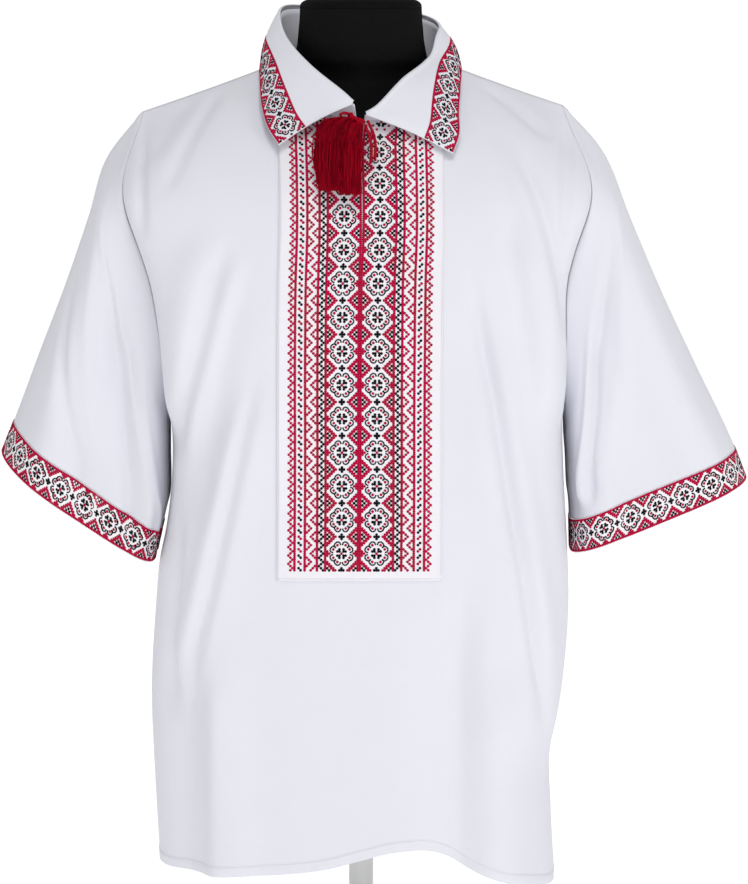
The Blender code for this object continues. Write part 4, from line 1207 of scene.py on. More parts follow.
    def build(self, wardrobe: Wardrobe) -> Panels:
        """Make the front and the back, and return their grids.

        Args:
            wardrobe: The finishes.

        Returns:
            The grids of both halves of each.
        """
        panels = {side: self.panel(side) for side in Side}
        for side, halves in panels.items():
            eased, marks = [], []
            row = len(self.yoke_steps()) - 1
            for hand, half in halves.items():
                rim = ["top", "first" if hand is Hand.LEFT else "last"]
                normals = self.outward(half, side)
                eased.append(ease_rim(half, normals, rim, self.seam_gap, self.seam_sink))
                centre = half.shape[1] - 1 if hand is Hand.LEFT else 0
                marks.append(metre_uv(half, row, centre))
            name = side.word
            piece = sew_cloth(name, eased, marks, self.wall, wardrobe.cotton, side is Side.BACK)
        return panels


@dataclass
class Insert:
    """The embroidered chest insert, laid on the front from the neck to below the slit."""

    body: Body
    wall: float = 0.0012
    lay_gap: float = 0.0006
    rim_gap: float = 0.0002
    rim_sink: float = 0.35

    def halves(self, panels: Panels) -> Halves:
        """The front's own grids over its middle, moved out to the insert's face."""
        rows = len(self.body.yoke_steps()) + self.body.chest_rows
        columns = len(self.body.insert_steps())
        faces = {}
        for hand, half in panels[Side.FRONT].items():
            raised = half + self.body.outward(half, Side.FRONT) * (self.lay_gap + self.wall)
            cut = np.s_[:rows, -columns:] if hand is Hand.LEFT else np.s_[:rows, :columns]
            faces[hand] = raised[cut]
        return faces

    def build(self, panels: Panels, wardrobe: Wardrobe) -> Halves:
        """Make the insert and return its outer face.

        Args:
            panels: The body's half panels.
            wardrobe: The finishes.

        Returns:
            A grid for each half.
        """
        faces = self.halves(panels)
        eased, marks = [], []
        for hand, half in faces.items():
            outer = "first" if hand is Hand.LEFT else "last"
            normals = self.body.outward(half, Side.FRONT)
            eased.append(ease_rim(half, normals, [outer, "foot"], self.rim_gap,
                                  self.wall * self.rim_sink))
            centre = half.shape[1] - 1 if hand is Hand.LEFT else 0
            marks.append(metre_uv(half, half.shape[0] - 1, centre))
        piece = sew_cloth("chest_insert", eased, marks, self.wall, wardrobe.insert_cotton)
        return faces


# ---- sleeves
@dataclass
class Sleeve:
    """A dropped short sleeve with its embroidered cuff band, open at both ends."""

    hand: Hand
    body: Body
    squareness: float = 3.0
    rows: int = 58
    cuff_rows: int = 14
    cuff_columns: int = 160
    seam_gap: float = 0.0003
    seam_sink: float = 0.0004
    seam_roll: float = 0.0012
    roll_share: float = 0.016
    roll_width: float = 0.010
    cuff_rise: float = 0.0004
    cuff_share: float = 0.10
    fold_eases: Pair = (3.0, 6.0)
    turn_ease: float = 1.5
    seam_ease: float = 2.5

    def ring(self, angle: Numbers, share: Numbers) -> Numbers:
        """Points of an oval ring at angles from the top edge round the front.

        Args:
            angle: Angles from the top edge, positive round the front.
            share: Shares of the sleeve's length.

        Returns:
            The points.
        """
        rings = SLEEVE_RINGS[self.hand]
        value = {name: smooth(share, rings["share"], rings[name]) for name in rings}
        cosine, sine = np.cos(angle), np.sin(angle)
        power = 2.0 / self.squareness
        along = (1.0 - signed_power(cosine, power)) / 2
        chord_x = value["in_x"] - value["out_x"]
        chord_z = value["in_z"] - value["out_z"]
        length = np.hypot(chord_x, chord_z)
        sag = value["sag"] * np.abs(sine)
        x = value["out_x"] + chord_x * along + sag * chord_z / length
        z = value["out_z"] + chord_z * along + sag * chord_x / length
        y = -value["half_depth"] * signed_power(sine, power)
        return stack(self.hand.value * x, y, z)

    def relief(self, angle: Numbers, share: Numbers) -> Numbers:
        """Height of the folds that run down the sleeve, and of the roll at its seam."""
        relief = fold_relief(SLEEVE_FOLDS[self.hand], np.degrees(angle), share,
                             self.fold_eases, full_turn=360.0)
        roll = np.exp(-((share - self.roll_share) / self.roll_width) ** 2)
        return relief + self.seam_roll * roll

    def surface(self, angle: Numbers, share: Numbers) -> Numbers:
        """The sleeve without its seam's fit: rings moved out by the folds."""
        points = self.ring(angle, share + 0 * angle)
        out = unit(points - points.mean(axis=1, keepdims=True))
        return points + out * self.relief(angle, share)[..., None]

    def grid(self, panels: Panels) -> Numbers:
        """The sleeve from its armhole points down to the cuff seam, first column twice.

        Args:
            panels: The body's half panels.

        Returns:
            The sleeve as a grid.
        """
        rows = self.body.seam_rows()
        column = 0 if self.hand is Hand.LEFT else -1
        front = panels[Side.FRONT][self.hand][:rows, column]
        back = panels[Side.BACK][self.hand][:rows, column]
        loop = np.concatenate([front, back[::-1][1:-1]])
        rings = SLEEVE_RINGS[self.hand]
        out_z, in_z = rings["out_z"][0], rings["in_z"][0]
        along = np.clip((out_z - loop[:, 2]) / (out_z - in_z), 0.0, 1.0)
        lean = 1.0 - 2.0 * along
        seam_angle = np.arccos(signed_power(lean, self.squareness / 2.0))
        seam_angle[len(front):] = 2 * math.pi - seam_angle[len(front):]
        even_angle = np.linspace(0.0, 2 * math.pi, len(loop), endpoint=False)
        share = steps_with(self.rows, 0.006, 0.994)[:, None]
        angle = seam_angle + (even_angle - seam_angle) * soft_step(share * self.turn_ease)
        points = self.surface(angle, share)
        seam_error = loop - self.ring(seam_angle, np.zeros_like(seam_angle))
        points = points + seam_error[None] * (1.0 - soft_step(share * self.seam_ease))[..., None]
        return np.concatenate([points, points[:, :1]], axis=1)

    def cuff_grid(self, share: Numbers, columns: int) -> Numbers:
        """The cuff band's rings at shares of its own height, first column twice."""
        angle = np.linspace(0.0, 2 * math.pi, columns, endpoint=False)[None]
        share = 1.0 + self.cuff_share * share[:, None]
        points = self.surface(angle + 0 * share, share)
        return np.concatenate([points, points[:, :1]], axis=1)

    def outward(self, points: Numbers) -> Numbers:
        """Unit normals that point out of the sleeve; the doubled column's are joined."""
        wide = np.concatenate([points[:, -2:-1], points, points[:, 1:2]], axis=1)
        return -self.hand.value * grid_normals(wide)[:, 1:-1]

    def build(self, panels: Panels, wardrobe: Wardrobe) -> None:
        """Make the sleeve and its cuff band."""
        word = self.hand.word
        piece = self.cloth(f"sleeve_{word}", self.grid(panels), self.body.wall, wardrobe.cotton)
        band = self.cuff_face(steps_with(self.cuff_rows, 0.02, 0.98), self.cuff_columns)
        piece = self.cloth(f"cuff_{word}", band, self.body.wall + self.cuff_rise,
                           wardrobe.band_cotton)

    def cloth(self, node: str, points: Numbers, wall: float, material: Material) -> Object:
        """Make the sleeve's or the band's cloth, its two open edges eased at the seams."""
        eased = ease_rim(points, self.outward(points), ["top", "foot"], self.seam_gap,
                         self.seam_sink)
        return sew_cloth(node, [eased], [metre_uv(points, 0, 0)], wall, material,
                         self.hand is Hand.RIGHT)

    def cuff_face(self, share: Numbers, columns: int) -> Numbers:
        """The band's outer face, a little proud of the sleeve that it is sewn to."""
        points = self.cuff_grid(share, columns)
        return points + self.outward(points) * self.cuff_rise


# ---- collar
@dataclass
class Collar:
    """The stand, sewn to the neck, and the leaf that rolls over it and falls open."""

    body: Body
    wall: float = 0.0018
    roll_radius: float = 0.0035
    stand_drop: float = 0.0014
    roll_from: float = 100.0
    roll_to: float = 5.0
    roll_rows: int = 7
    leaf_rows: int = 26
    leaf_columns: int = 180
    leaf_crown: float = 0.004
    stand_rows: int = 8

    def curve(self, share: Numbers, kind: str) -> Numbers:
        """Points of the roll line or the leaf's outer edge, at shares round the neck."""
        knots = COLLAR_STATIONS["share"]
        return stack(*(smooth(share, knots, COLLAR_STATIONS[f"{kind}_{axis}"])
                       for axis in "xyz"))

    def neck_path(self, panels: Panels) -> Numbers:
        """Neck seam points from the left slit edge over the back to the right one."""
        count = len(self.body.insert_steps())
        front, back = panels[Side.FRONT], panels[Side.BACK]
        return np.concatenate([front[Hand.LEFT][0][-count:][::-1],
                               back[Hand.LEFT][0][-count:][1:],
                               back[Hand.RIGHT][0][1:count],
                               front[Hand.RIGHT][0][:count][::-1][1:]])

    def stand_grid(self, panels: Panels) -> Numbers:
        """Straight lines from just under the roll line down to the neck seam."""
        neck = self.neck_path(panels)
        length = lengths_along(neck, 0)
        roll = self.curve(length / length[-1], "roll") - np.array([0.0, 0.0, self.stand_drop])
        t = steps_with(self.stand_rows, 0.98)[:, None, None]
        return roll[None] * (1.0 - t) + neck[None] * t

    def leaf_grid(self, share: Numbers, fall_steps: Numbers) -> Numbers:
        """The leaf: an arc over the roll line, then a crowned fall to the outer edge.

        Args:
            share: Shares of the way round the neck.
            fall_steps: Steps from the roll line to the outer edge.

        Returns:
            The leaf as a grid.
        """
        roll = self.curve(share, "roll")
        edge = self.curve(share, "edge")
        ahead = np.gradient(roll, axis=0)
        ahead[:, 2] = 0.0
        ahead = unit(ahead)
        up = np.array([0.0, 0.0, 1.0])
        outward = np.cross(up, ahead)
        core = roll - outward * self.wall / 2
        turn = np.radians(np.linspace(self.roll_from, self.roll_to, self.roll_rows))
        turn = turn[:, None, None]
        over = core + (outward * np.cos(turn) + up * np.sin(turn)) * self.roll_radius
        start = over[-1]
        fall = edge - start
        slope = unit(np.cross(ahead, fall))
        slope = slope * np.sign(np.sum(slope * (outward + up), axis=1, keepdims=True))
        t = fall_steps[1:, None, None]
        return np.concatenate([over, start + fall * t
                               + slope * self.leaf_crown * np.sin(math.pi * t)])

    def build(self, panels: Panels, wardrobe: Wardrobe) -> None:
        """Make the stand and the leaf.

        Args:
            panels: The body's half panels.
            wardrobe: The finishes.
        """
        stand = self.stand_grid(panels)
        eased = ease_rim(stand, -grid_normals(stand), ["foot"], self.body.seam_gap, 0.0)
        piece = sew_cloth("collar_stand", [eased], [metre_uv(stand, 0, 0)], self.wall,
                          wardrobe.cotton, flip=True)
        share = steps_with(self.leaf_columns, 0.002, 0.998)
        leaf = self.leaf_grid(share, steps_with(self.leaf_rows, 0.975))
        piece = sew_cloth("collar_leaf", [leaf], [metre_uv(leaf, 0, 0)], self.wall,
                          wardrobe.cotton, flip=True)


# ---- embroidery
# Columns of a border chart: column from the outer edge, period in rows, rows filled.
BORDER_CHART: tuple[tuple[int, int, tuple[int, ...], Thread], ...] = (
    (0, 4, (1,), Thread.RED), (1, 4, (0, 2), Thread.RED), (2, 4, (3,), Thread.RED),
    (3, 1, (0,), Thread.RED),
    (5, 6, (1,), Thread.BLACK), (6, 6, (2,), Thread.BLACK),
    (5, 6, (4,), Thread.RED), (6, 6, (5,), Thread.RED),
    (8, 1, (0,), Thread.RED),
    (9, 8, (2, 6), Thread.RED), (10, 8, (3, 5), Thread.RED), (11, 8, (4, 0), Thread.RED),
    (12, 8, (7, 1), Thread.RED), (13, 8, (6, 2), Thread.RED),
    (14, 1, (0,), Thread.RED),
    (15, 4, (2,), Thread.BLACK), (16, 2, (1,), Thread.BLACK), (17, 4, (0,), Thread.BLACK),
)
# The wedge on a medallion band's edge line, by rows from its middle: inward from it.
WEDGE_CHART: dict[int, tuple[Optional[Thread], ...]] = {
    0: (None, Thread.BLACK, None, Thread.RED, Thread.RED),
    1: (Thread.BLACK, None, Thread.RED, Thread.RED),
    2: (None, Thread.RED, Thread.RED),
    3: (Thread.RED, Thread.RED),
    4: (Thread.RED,),
}
# One petal's outline from the medallion's middle, in cells; seven more mirror it.
PETAL_OUTLINE = ((0.5, 4.0), (0.6, 4.9), (1.2, 5.45), (2.0, 5.6), (2.8, 5.2), (3.4, 4.4),
                 (3.55, 3.6), (2.8, 2.6))
MEDALLION_ROWS = 16
MEDALLION_REACH = 8
BORDER_COLUMNS = 18
BAND_COLUMNS = 2 * MEDALLION_REACH + 1
INSERT_COLUMNS = BORDER_COLUMNS + BAND_COLUMNS


@dataclass
class Chart:
    """Which cells hold a stitch of which colour: rows by columns."""

    red: Numbers
    black: Numbers

    @classmethod
    def blank(cls, rows: int, columns: int) -> "Chart":
        """A chart with no stitches."""
        return cls(np.zeros((rows, columns), bool), np.zeros((rows, columns), bool))

    def mark(self, rows: Numbers, column: int, thread: Optional[Thread]) -> None:
        """Fill a column's cells at some rows."""
        if thread is not None:
            (self.red if thread is Thread.RED else self.black)[rows, column] = True

    def border(self, phase: Numbers) -> None:
        """Fill the border's columns.

        Args:
            phase: For each row, its number from a medallion's middle.
        """
        for column, period, filled, thread in BORDER_CHART:
            self.mark(np.isin(phase % period, filled), column, thread)

    def medallions(self, phase: Numbers, first: int) -> None:
        """Fill a band of medallions between two edge lines.

        Args:
            phase: For each row, its number from a medallion's middle.
            first: The column of the band's first edge line.
        """
        row = (phase + MEDALLION_REACH) % MEDALLION_ROWS - MEDALLION_REACH
        from_wedge = np.minimum(phase % MEDALLION_ROWS, MEDALLION_ROWS)
        from_wedge = np.abs(from_wedge - MEDALLION_REACH)
        middle, last = first + MEDALLION_REACH, first + 2 * MEDALLION_REACH
        for line, inward in ((first, 1), (last, -1)):
            self.mark(np.full(len(phase), True), line, Thread.RED)
            for distance, cells in WEDGE_CHART.items():
                for step, thread in enumerate(cells, start=1):
                    self.mark(from_wedge == distance, line + inward * step, thread)
            self.mark(np.abs(row) <= 1, line + inward, Thread.RED)
            self.mark(row == 0, line + 2 * inward, Thread.RED)
        self.mark(row == 0, middle, Thread.RED)
        for side in (-1, 1):
            self.mark(np.isin(np.abs(row), (1, 2)), middle + side, Thread.BLACK)
            self.mark(np.abs(row) == 1, middle + 2 * side, Thread.BLACK)
            self.mark(np.abs(row) == 4, middle + 2 * side, Thread.RED)
            self.mark(np.abs(row) == 2, middle + 4 * side, Thread.RED)
            self.mark(from_wedge == 0, middle + side, Thread.BLACK)
        self.mark(from_wedge <= 1, middle, Thread.BLACK)


@dataclass
class Needle:
    """Lays raised stitches on a surface: crosses in cells, and single straight ones."""

    width: float = 0.95
    rise: float = 0.17
    sunk: float = 0.00005
    taper: float = 0.09
    draw: float = 0.05
    over_rise: float = 1.35
    uneven: float = 0.07
    seed: int = 7

    def bars(self, start: Numbers, end: Numbers, normal: Numbers, width: Numbers,
             rise: Numbers) -> Parts:
        """A low gabled bar from each start to each end: eight triangles, closed.

        Four corners lie just under the cloth's face, half the width to each side of
        the line, and two ridge points stand above it, a little in from the ends.

        Args:
            start: Where each bar starts.
            end: Where it ends.
            normal: The cloth's unit normal there.
            width: Its width.
            rise: Its height.

        Returns:
            The parts.
        """
        ahead = unit(end - start)
        side = np.cross(normal, ahead) * (width / 2)[:, None]
        base = -normal * self.sunk
        inset = (end - start) * self.taper
        lift = normal * rise[:, None]
        points = np.stack([start + side + base, start - side + base, end - side + base,
                           end + side + base, start + inset + lift, end - inset + lift], axis=1)
        first = np.arange(len(start))[:, None] * 6
        quads = np.array([[0, 4, 5, 3], [1, 2, 5, 4], [0, 3, 2, 1]])
        ends = np.array([[0, 1, 4], [2, 3, 5]])
        length = np.linalg.norm(end - start, axis=1)[:, None]
        zero, one = np.zeros_like(length), np.ones_like(length)
        uv = np.stack([np.concatenate([zero, one, one, zero, one / 2, one / 2], axis=1),
                       np.concatenate([zero, zero, length, length, zero, length], axis=1)],
                      axis=-1)
        return (points.reshape(-1, 3),
                [(first[:, None] + quads).reshape(-1, 4), (first[:, None] + ends).reshape(-1, 3)],
                [uv[:, quads].reshape(-1, 4, 2), uv[:, ends].reshape(-1, 3, 2)])

    def crosses(self, lattice: Numbers, outward: Numbers, cells: Numbers) -> Parts:
        """Two crossed bars in each filled cell of a lattice of corner points.

        Args:
            lattice: Cell corners.
            outward: Unit normals at the corners.
            cells: Which cells are filled.

        Returns:
            The parts.
        """
        a, b = lattice[:-1, :-1][cells], lattice[:-1, 1:][cells]
        d, c = lattice[1:, :-1][cells], lattice[1:, 1:][cells]
        normal = outward[:-1, :-1][cells]
        size = (np.linalg.norm(b - a, axis=1) + np.linalg.norm(d - a, axis=1)) / 2
        chance = np.random.default_rng(self.seed)
        vary = 1.0 + self.uneven * chance.uniform(-1.0, 1.0, (4, len(a)))
        middle = (a + b + c + d) / 4

        def pulled(corner: Numbers) -> Numbers:
            """A corner drawn towards the cell's middle."""
            return corner + (middle - corner) * self.draw

        under = self.bars(pulled(a), pulled(c), normal, size * self.width * vary[0],
                          size * self.rise * vary[1])
        over = self.bars(pulled(b), pulled(d), normal, size * self.width * vary[2],
                         size * self.rise * self.over_rise * vary[3])
        return merge_parts([under, over])


@dataclass
class Embroidery:
    """The cross stitch of the insert, the cuffs and the collar, in red and black."""

    insert_pitch: float = 0.00206
    insert_row_pitch: float = 0.002095
    insert_foot_margin: float = 0.0098
    insert_top_margin: float = 0.0015
    slit_margin: float = 0.0006
    slit_margin_from: float = 0.14
    slit_margin_over: float = 0.08
    band_cell: float = 0.00187
    band_margin: float = 0.0008
    cuff_top: float = 0.012
    cuff_foot: float = 0.955
    collar_cells: int = 152
    cuff_samples: int = 720
    collar_samples: tuple[int, int] = (260, 60)
    collar_phase: int = -7
    outline_width: float = 0.0019
    outline_rise: float = 0.00030
    needle: Needle = field(default_factory=Needle)

    def insert_lattice(self, half: Numbers, hand: Hand, slit_foot: float
                       ) -> tuple[Numbers, Numbers]:
        """Cell corners of a half of the insert, on upright lines up from its foot.

        Each row of the cloth is read at the lines' distances from the slit. Each
        line is then read at even lengths from the foot.

        Args:
            half: The insert's outer face over this half.
            hand: Which half it is.
            slit_foot: Height at which the slit ends.

        Returns:
            The corners, rows upwards and columns outwards from the slit, and for
            each column line its length up to the neck.
        """
        rows = (half[:, ::-1] if hand is Hand.LEFT else half)[::-1]
        across = hand.value * rows[..., 0]
        steps = np.arange(INSERT_COLUMNS + 1) * self.insert_pitch
        above = rows[:, :1, 2] - slit_foot - self.slit_margin_from
        selvage = self.slit_margin * soft_step(above / self.slit_margin_over)
        slit = across[:, :1] + selvage
        span = across[:, -1:] - slit
        target = slit + steps[None] * span / span.max()
        lines = np.stack([[np.interp(want, have, row[:, axis]) for axis in (1, 2)]
                          for want, have, row in zip(target, across, rows)])
        lines = stack(hand.value * target, lines[:, 0], lines[:, 1])
        length = lengths_along(lines, 0)
        count = int((length[-1].max() - self.insert_foot_margin) / self.insert_row_pitch) + 1
        want = self.insert_foot_margin + np.arange(count + 1) * self.insert_row_pitch
        return read_columns(want, length, lines), length[-1] - self.insert_foot_margin

    def insert_chart(self, rows: int, reach: Numbers) -> Chart:
        """The insert's chart with its first column at the slit, cut at the neck."""
        chart = Chart.blank(rows, INSERT_COLUMNS)
        phase = MEDALLION_REACH - np.arange(rows)
        chart.border(phase)
        chart.medallions(phase, BORDER_COLUMNS)
        top = (np.arange(rows)[:, None] + 1) * self.insert_row_pitch
        kept = top < (np.minimum(reach[:-1], reach[1:]) - self.insert_top_margin)[None]
        return Chart(chart.red[:, ::-1] & kept, chart.black[:, ::-1] & kept)

    def petals(self, lattice: Numbers, middles: Sequence[Pair], outward: Numbers) -> Parts:
        """The dark outlines round the petals' dots, as short straight stitches.

        Args:
            lattice: Cell corners.
            middles: The medallions' middles, by column and row.
            outward: Unit normals at the corners.

        Returns:
            The parts.
        """
        arc = np.array(PETAL_OUTLINE)
        arcs = np.concatenate([[arc * (sx, sy), arc[:, ::-1] * (sx, sy)]
                               for sx in (-1, 1) for sy in (-1, 1)])
        spots = np.array(middles)[:, None, None] + arcs[None]
        fits = ((spots[..., 0] >= 0) & (spots[..., 0] < lattice.shape[1] - 1)
                & (spots[..., 1] >= 0) & (spots[..., 1] < lattice.shape[0] - 1)).all(axis=2)
        spots = spots[fits]
        places = read_lattice(lattice, spots[..., 0], spots[..., 1])
        normals = read_lattice(outward, spots[..., 0], spots[..., 1])
        start, end = places[:, :-1].reshape(-1, 3), places[:, 1:].reshape(-1, 3)
        size = np.full(len(start), 1.0)
        return self.needle.bars(start, end, unit(normals[:, :-1].reshape(-1, 3)),
                                size * self.outline_width, size * self.outline_rise)

    def sew(self, name: str, parts: dict[Thread, list], wardrobe: Wardrobe) -> None:
        """Make one piece of stitches for each colour."""
        for thread, sewn in parts.items():
            piece = make_piece(f"{name}_{thread.value}", *merge_parts(sewn))
            dress(piece, wardrobe.thread[thread], f"{thread.value}_thread")

    def on_insert(self, faces: Halves, slit_foot: float, wardrobe: Wardrobe) -> None:
        """Embroider both halves of the insert, mirrored about the slit.

        Args:
            faces: The insert's outer face by halves.
            slit_foot: Height at which the slit ends.
            wardrobe: The finishes.
        """
        parts: dict[Thread, list] = {thread: [] for thread in Thread}
        for hand, half in faces.items():
            lattice, reach = self.insert_lattice(half, hand, slit_foot)
            outward = grid_normals(lattice)
            outward = outward * -np.sign(outward[..., 1:2])
            chart = self.insert_chart(len(lattice) - 1, reach)
            parts[Thread.RED].append(self.needle.crosses(lattice, outward, chart.red))
            parts[Thread.BLACK].append(self.needle.crosses(lattice, outward, chart.black))
            middle = MEDALLION_REACH + 0.5
            rows = np.arange(middle, len(lattice) - 1, MEDALLION_ROWS)
            limit = reach[MEDALLION_REACH] / self.insert_row_pitch - MEDALLION_REACH + 1
            middles = [(middle, row) for row in rows if row < limit]
            parts[Thread.BLACK].append(self.petals(lattice, middles, outward))
        self.sew("insert_stitches", parts, wardrobe)

    def on_band(self, name: str, lattice: Numbers, outward: Numbers, first: int,
                wardrobe: Wardrobe) -> None:
        """Embroider one band of medallions.

        Args:
            name: The pieces' name.
            lattice: Cell corners, along the band by across it.
            outward: Unit normals at the corners.
            first: Row number of the first row from a medallion's middle.
            wardrobe: The finishes.
        """
        chart = Chart.blank(lattice.shape[0] - 1, lattice.shape[1] - 1)
        phase = first + np.arange(len(chart.red))
        chart.medallions(phase, 0)
        middles = [(MEDALLION_REACH + 0.5, row + 0.5) for row in
                   np.flatnonzero(phase % MEDALLION_ROWS == 0)]
        parts = {
            Thread.RED: [self.needle.crosses(lattice, outward, chart.red)],
            Thread.BLACK: [self.needle.crosses(lattice, outward, chart.black),
                           self.petals(lattice, middles, outward)],
        }
        self.sew(name, parts, wardrobe)

    def on_cuff(self, sleeve: Sleeve, wardrobe: Wardrobe) -> None:
        """Embroider a cuff band all round, in whole medallions of even cells.

        Args:
            sleeve: The sleeve that has the cuff.
            wardrobe: The finishes.
        """
        share = np.linspace(self.cuff_top, self.cuff_foot, BAND_COLUMNS + 1)
        fine = sleeve.cuff_face(share, self.cuff_samples)
        length = lengths_along(fine[BAND_COLUMNS // 2], 0)
        around = MEDALLION_ROWS * round(length[-1] / self.band_cell / MEDALLION_ROWS)
        want = np.linspace(0.0, length[-1], around + 1)
        ring = np.stack([read_at(want, length, row) for row in fine], axis=1)
        outward = sleeve.outward(ring.transpose(1, 0, 2)).transpose(1, 0, 2)
        word = sleeve.hand.word
        self.on_band(f"cuff_{word}_stitches", ring, outward, 0, wardrobe)

    def on_collar(self, collar: Collar, wardrobe: Wardrobe) -> None:
        """Embroider the leaf along its outer edge, mirrored about the centre back.

        Args:
            collar: The collar.
            wardrobe: The finishes.
        """
        share = np.linspace(0.0, 0.5, self.collar_samples[0])
        fall = np.linspace(0.0, 1.0, self.collar_samples[1])
        for hand in Hand:
            along = share if hand is Hand.LEFT else 1.0 - share
            order = np.argsort(along)
            leaf = collar.leaf_grid(along[order], fall)[collar.roll_rows - 1:]
            leaf = leaf[:, np.argsort(order)][::-1]
            length = lengths_along(leaf, 0)
            want = self.band_margin + np.arange(BAND_COLUMNS + 1) * self.band_cell
            lines = read_columns(want, length, leaf)
            run = lengths_along(lines[BAND_COLUMNS // 2], 0)
            want = np.linspace(self.band_margin, run[-1], self.collar_cells + 1)
            lattice = np.stack([read_at(want, run, line) for line in lines], axis=1)
            outward = grid_normals(lattice)
            outward = outward * np.sign(outward[..., 2].sum())
            word = hand.word
            self.on_band(f"collar_{word}_stitches", lattice, outward, self.collar_phase, wardrobe)


def read_lattice(lattice: Numbers, column: Numbers, row: Numbers) -> Numbers:
    """Points between a lattice's corners, straight across each cell."""
    i, j = np.floor(column).astype(int), np.floor(row).astype(int)
    u, v = (column - i)[..., None], (row - j)[..., None]
    near = lattice[j, i] * (1 - u) + lattice[j, i + 1] * u
    far = lattice[j + 1, i] * (1 - u) + lattice[j + 1, i + 1] * u
    return near * (1 - v) + far * v


# ---- stitching
@dataclass
class Seamstress:
    """Rows of white top stitching along hems, seams and edges."""

    stitch: float = 0.0026
    gap: float = 0.0007
    width: float = 0.00045
    rise: float = 0.00028
    hem_inset: float = 0.0012
    insert_inset: float = 0.002
    needle: Needle = field(default_factory=Needle)

    def row(self, path: Numbers, normals: Numbers) -> Parts:
        """Even stitches along a path on a surface."""
        length = lengths_along(path, 0)
        count = int(length[-1] / (self.stitch + self.gap))
        start = np.arange(count) * (self.stitch + self.gap)
        ends = [read_at(at, length, path) for at in (start, start + self.stitch)]
        up = unit(read_at(start, length, normals))
        size = np.ones(count)
        return self.needle.bars(ends[0], ends[1], up, size * self.width, size * self.rise)

    def line_at(self, grid: Numbers, distance: float) -> tuple[Numbers, Numbers]:
        """A line on a grid at a distance up from its last row."""
        down = lengths_along(grid, 0)
        want = down[-1] - distance
        path = np.stack([read_at(want[column], down[:, column], grid[:, column])
                         for column in range(grid.shape[1])])
        return path, grid_normals(grid)[-3]

    def sew(self, rows: list, wardrobe: Wardrobe, name: str) -> None:
        """Make one piece of rows of stitches."""
        piece = make_piece(name, *merge_parts(rows))
        dress(piece, wardrobe.sewing, "white_cotton")

    def body(self, panels: Panels, body: Body, wardrobe: Wardrobe) -> None:
        """Stitch the hem of the front and of the back."""
        for side, halves in panels.items():
            rows = []
            for half in halves.values():
                path, normals = self.line_at(half, body.hem_width - self.hem_inset)
                rows.append(self.row(path, -side.value * normals))
            self.sew(rows, wardrobe, f"{side.word}_hem_stitching")

    def insert(self, faces: Halves, wardrobe: Wardrobe) -> None:
        """Stitch round the insert's outer edges, a little way in."""
        rows = []
        for hand, half in faces.items():
            outer = half if hand is Hand.LEFT else half[:, ::-1]
            side = self.line_at(outer.transpose(1, 0, 2)[::-1], self.insert_inset)[0][2:-1]
            foot, across = self.line_at(half, self.insert_inset)
            for path, normals in ((side, grid_normals(outer)[2:-1, 1]), (foot, across)):
                rows.append(self.row(path, normals * -np.sign(normals[:, 1:2])))
        self.sew(rows, wardrobe, "insert_stitching")


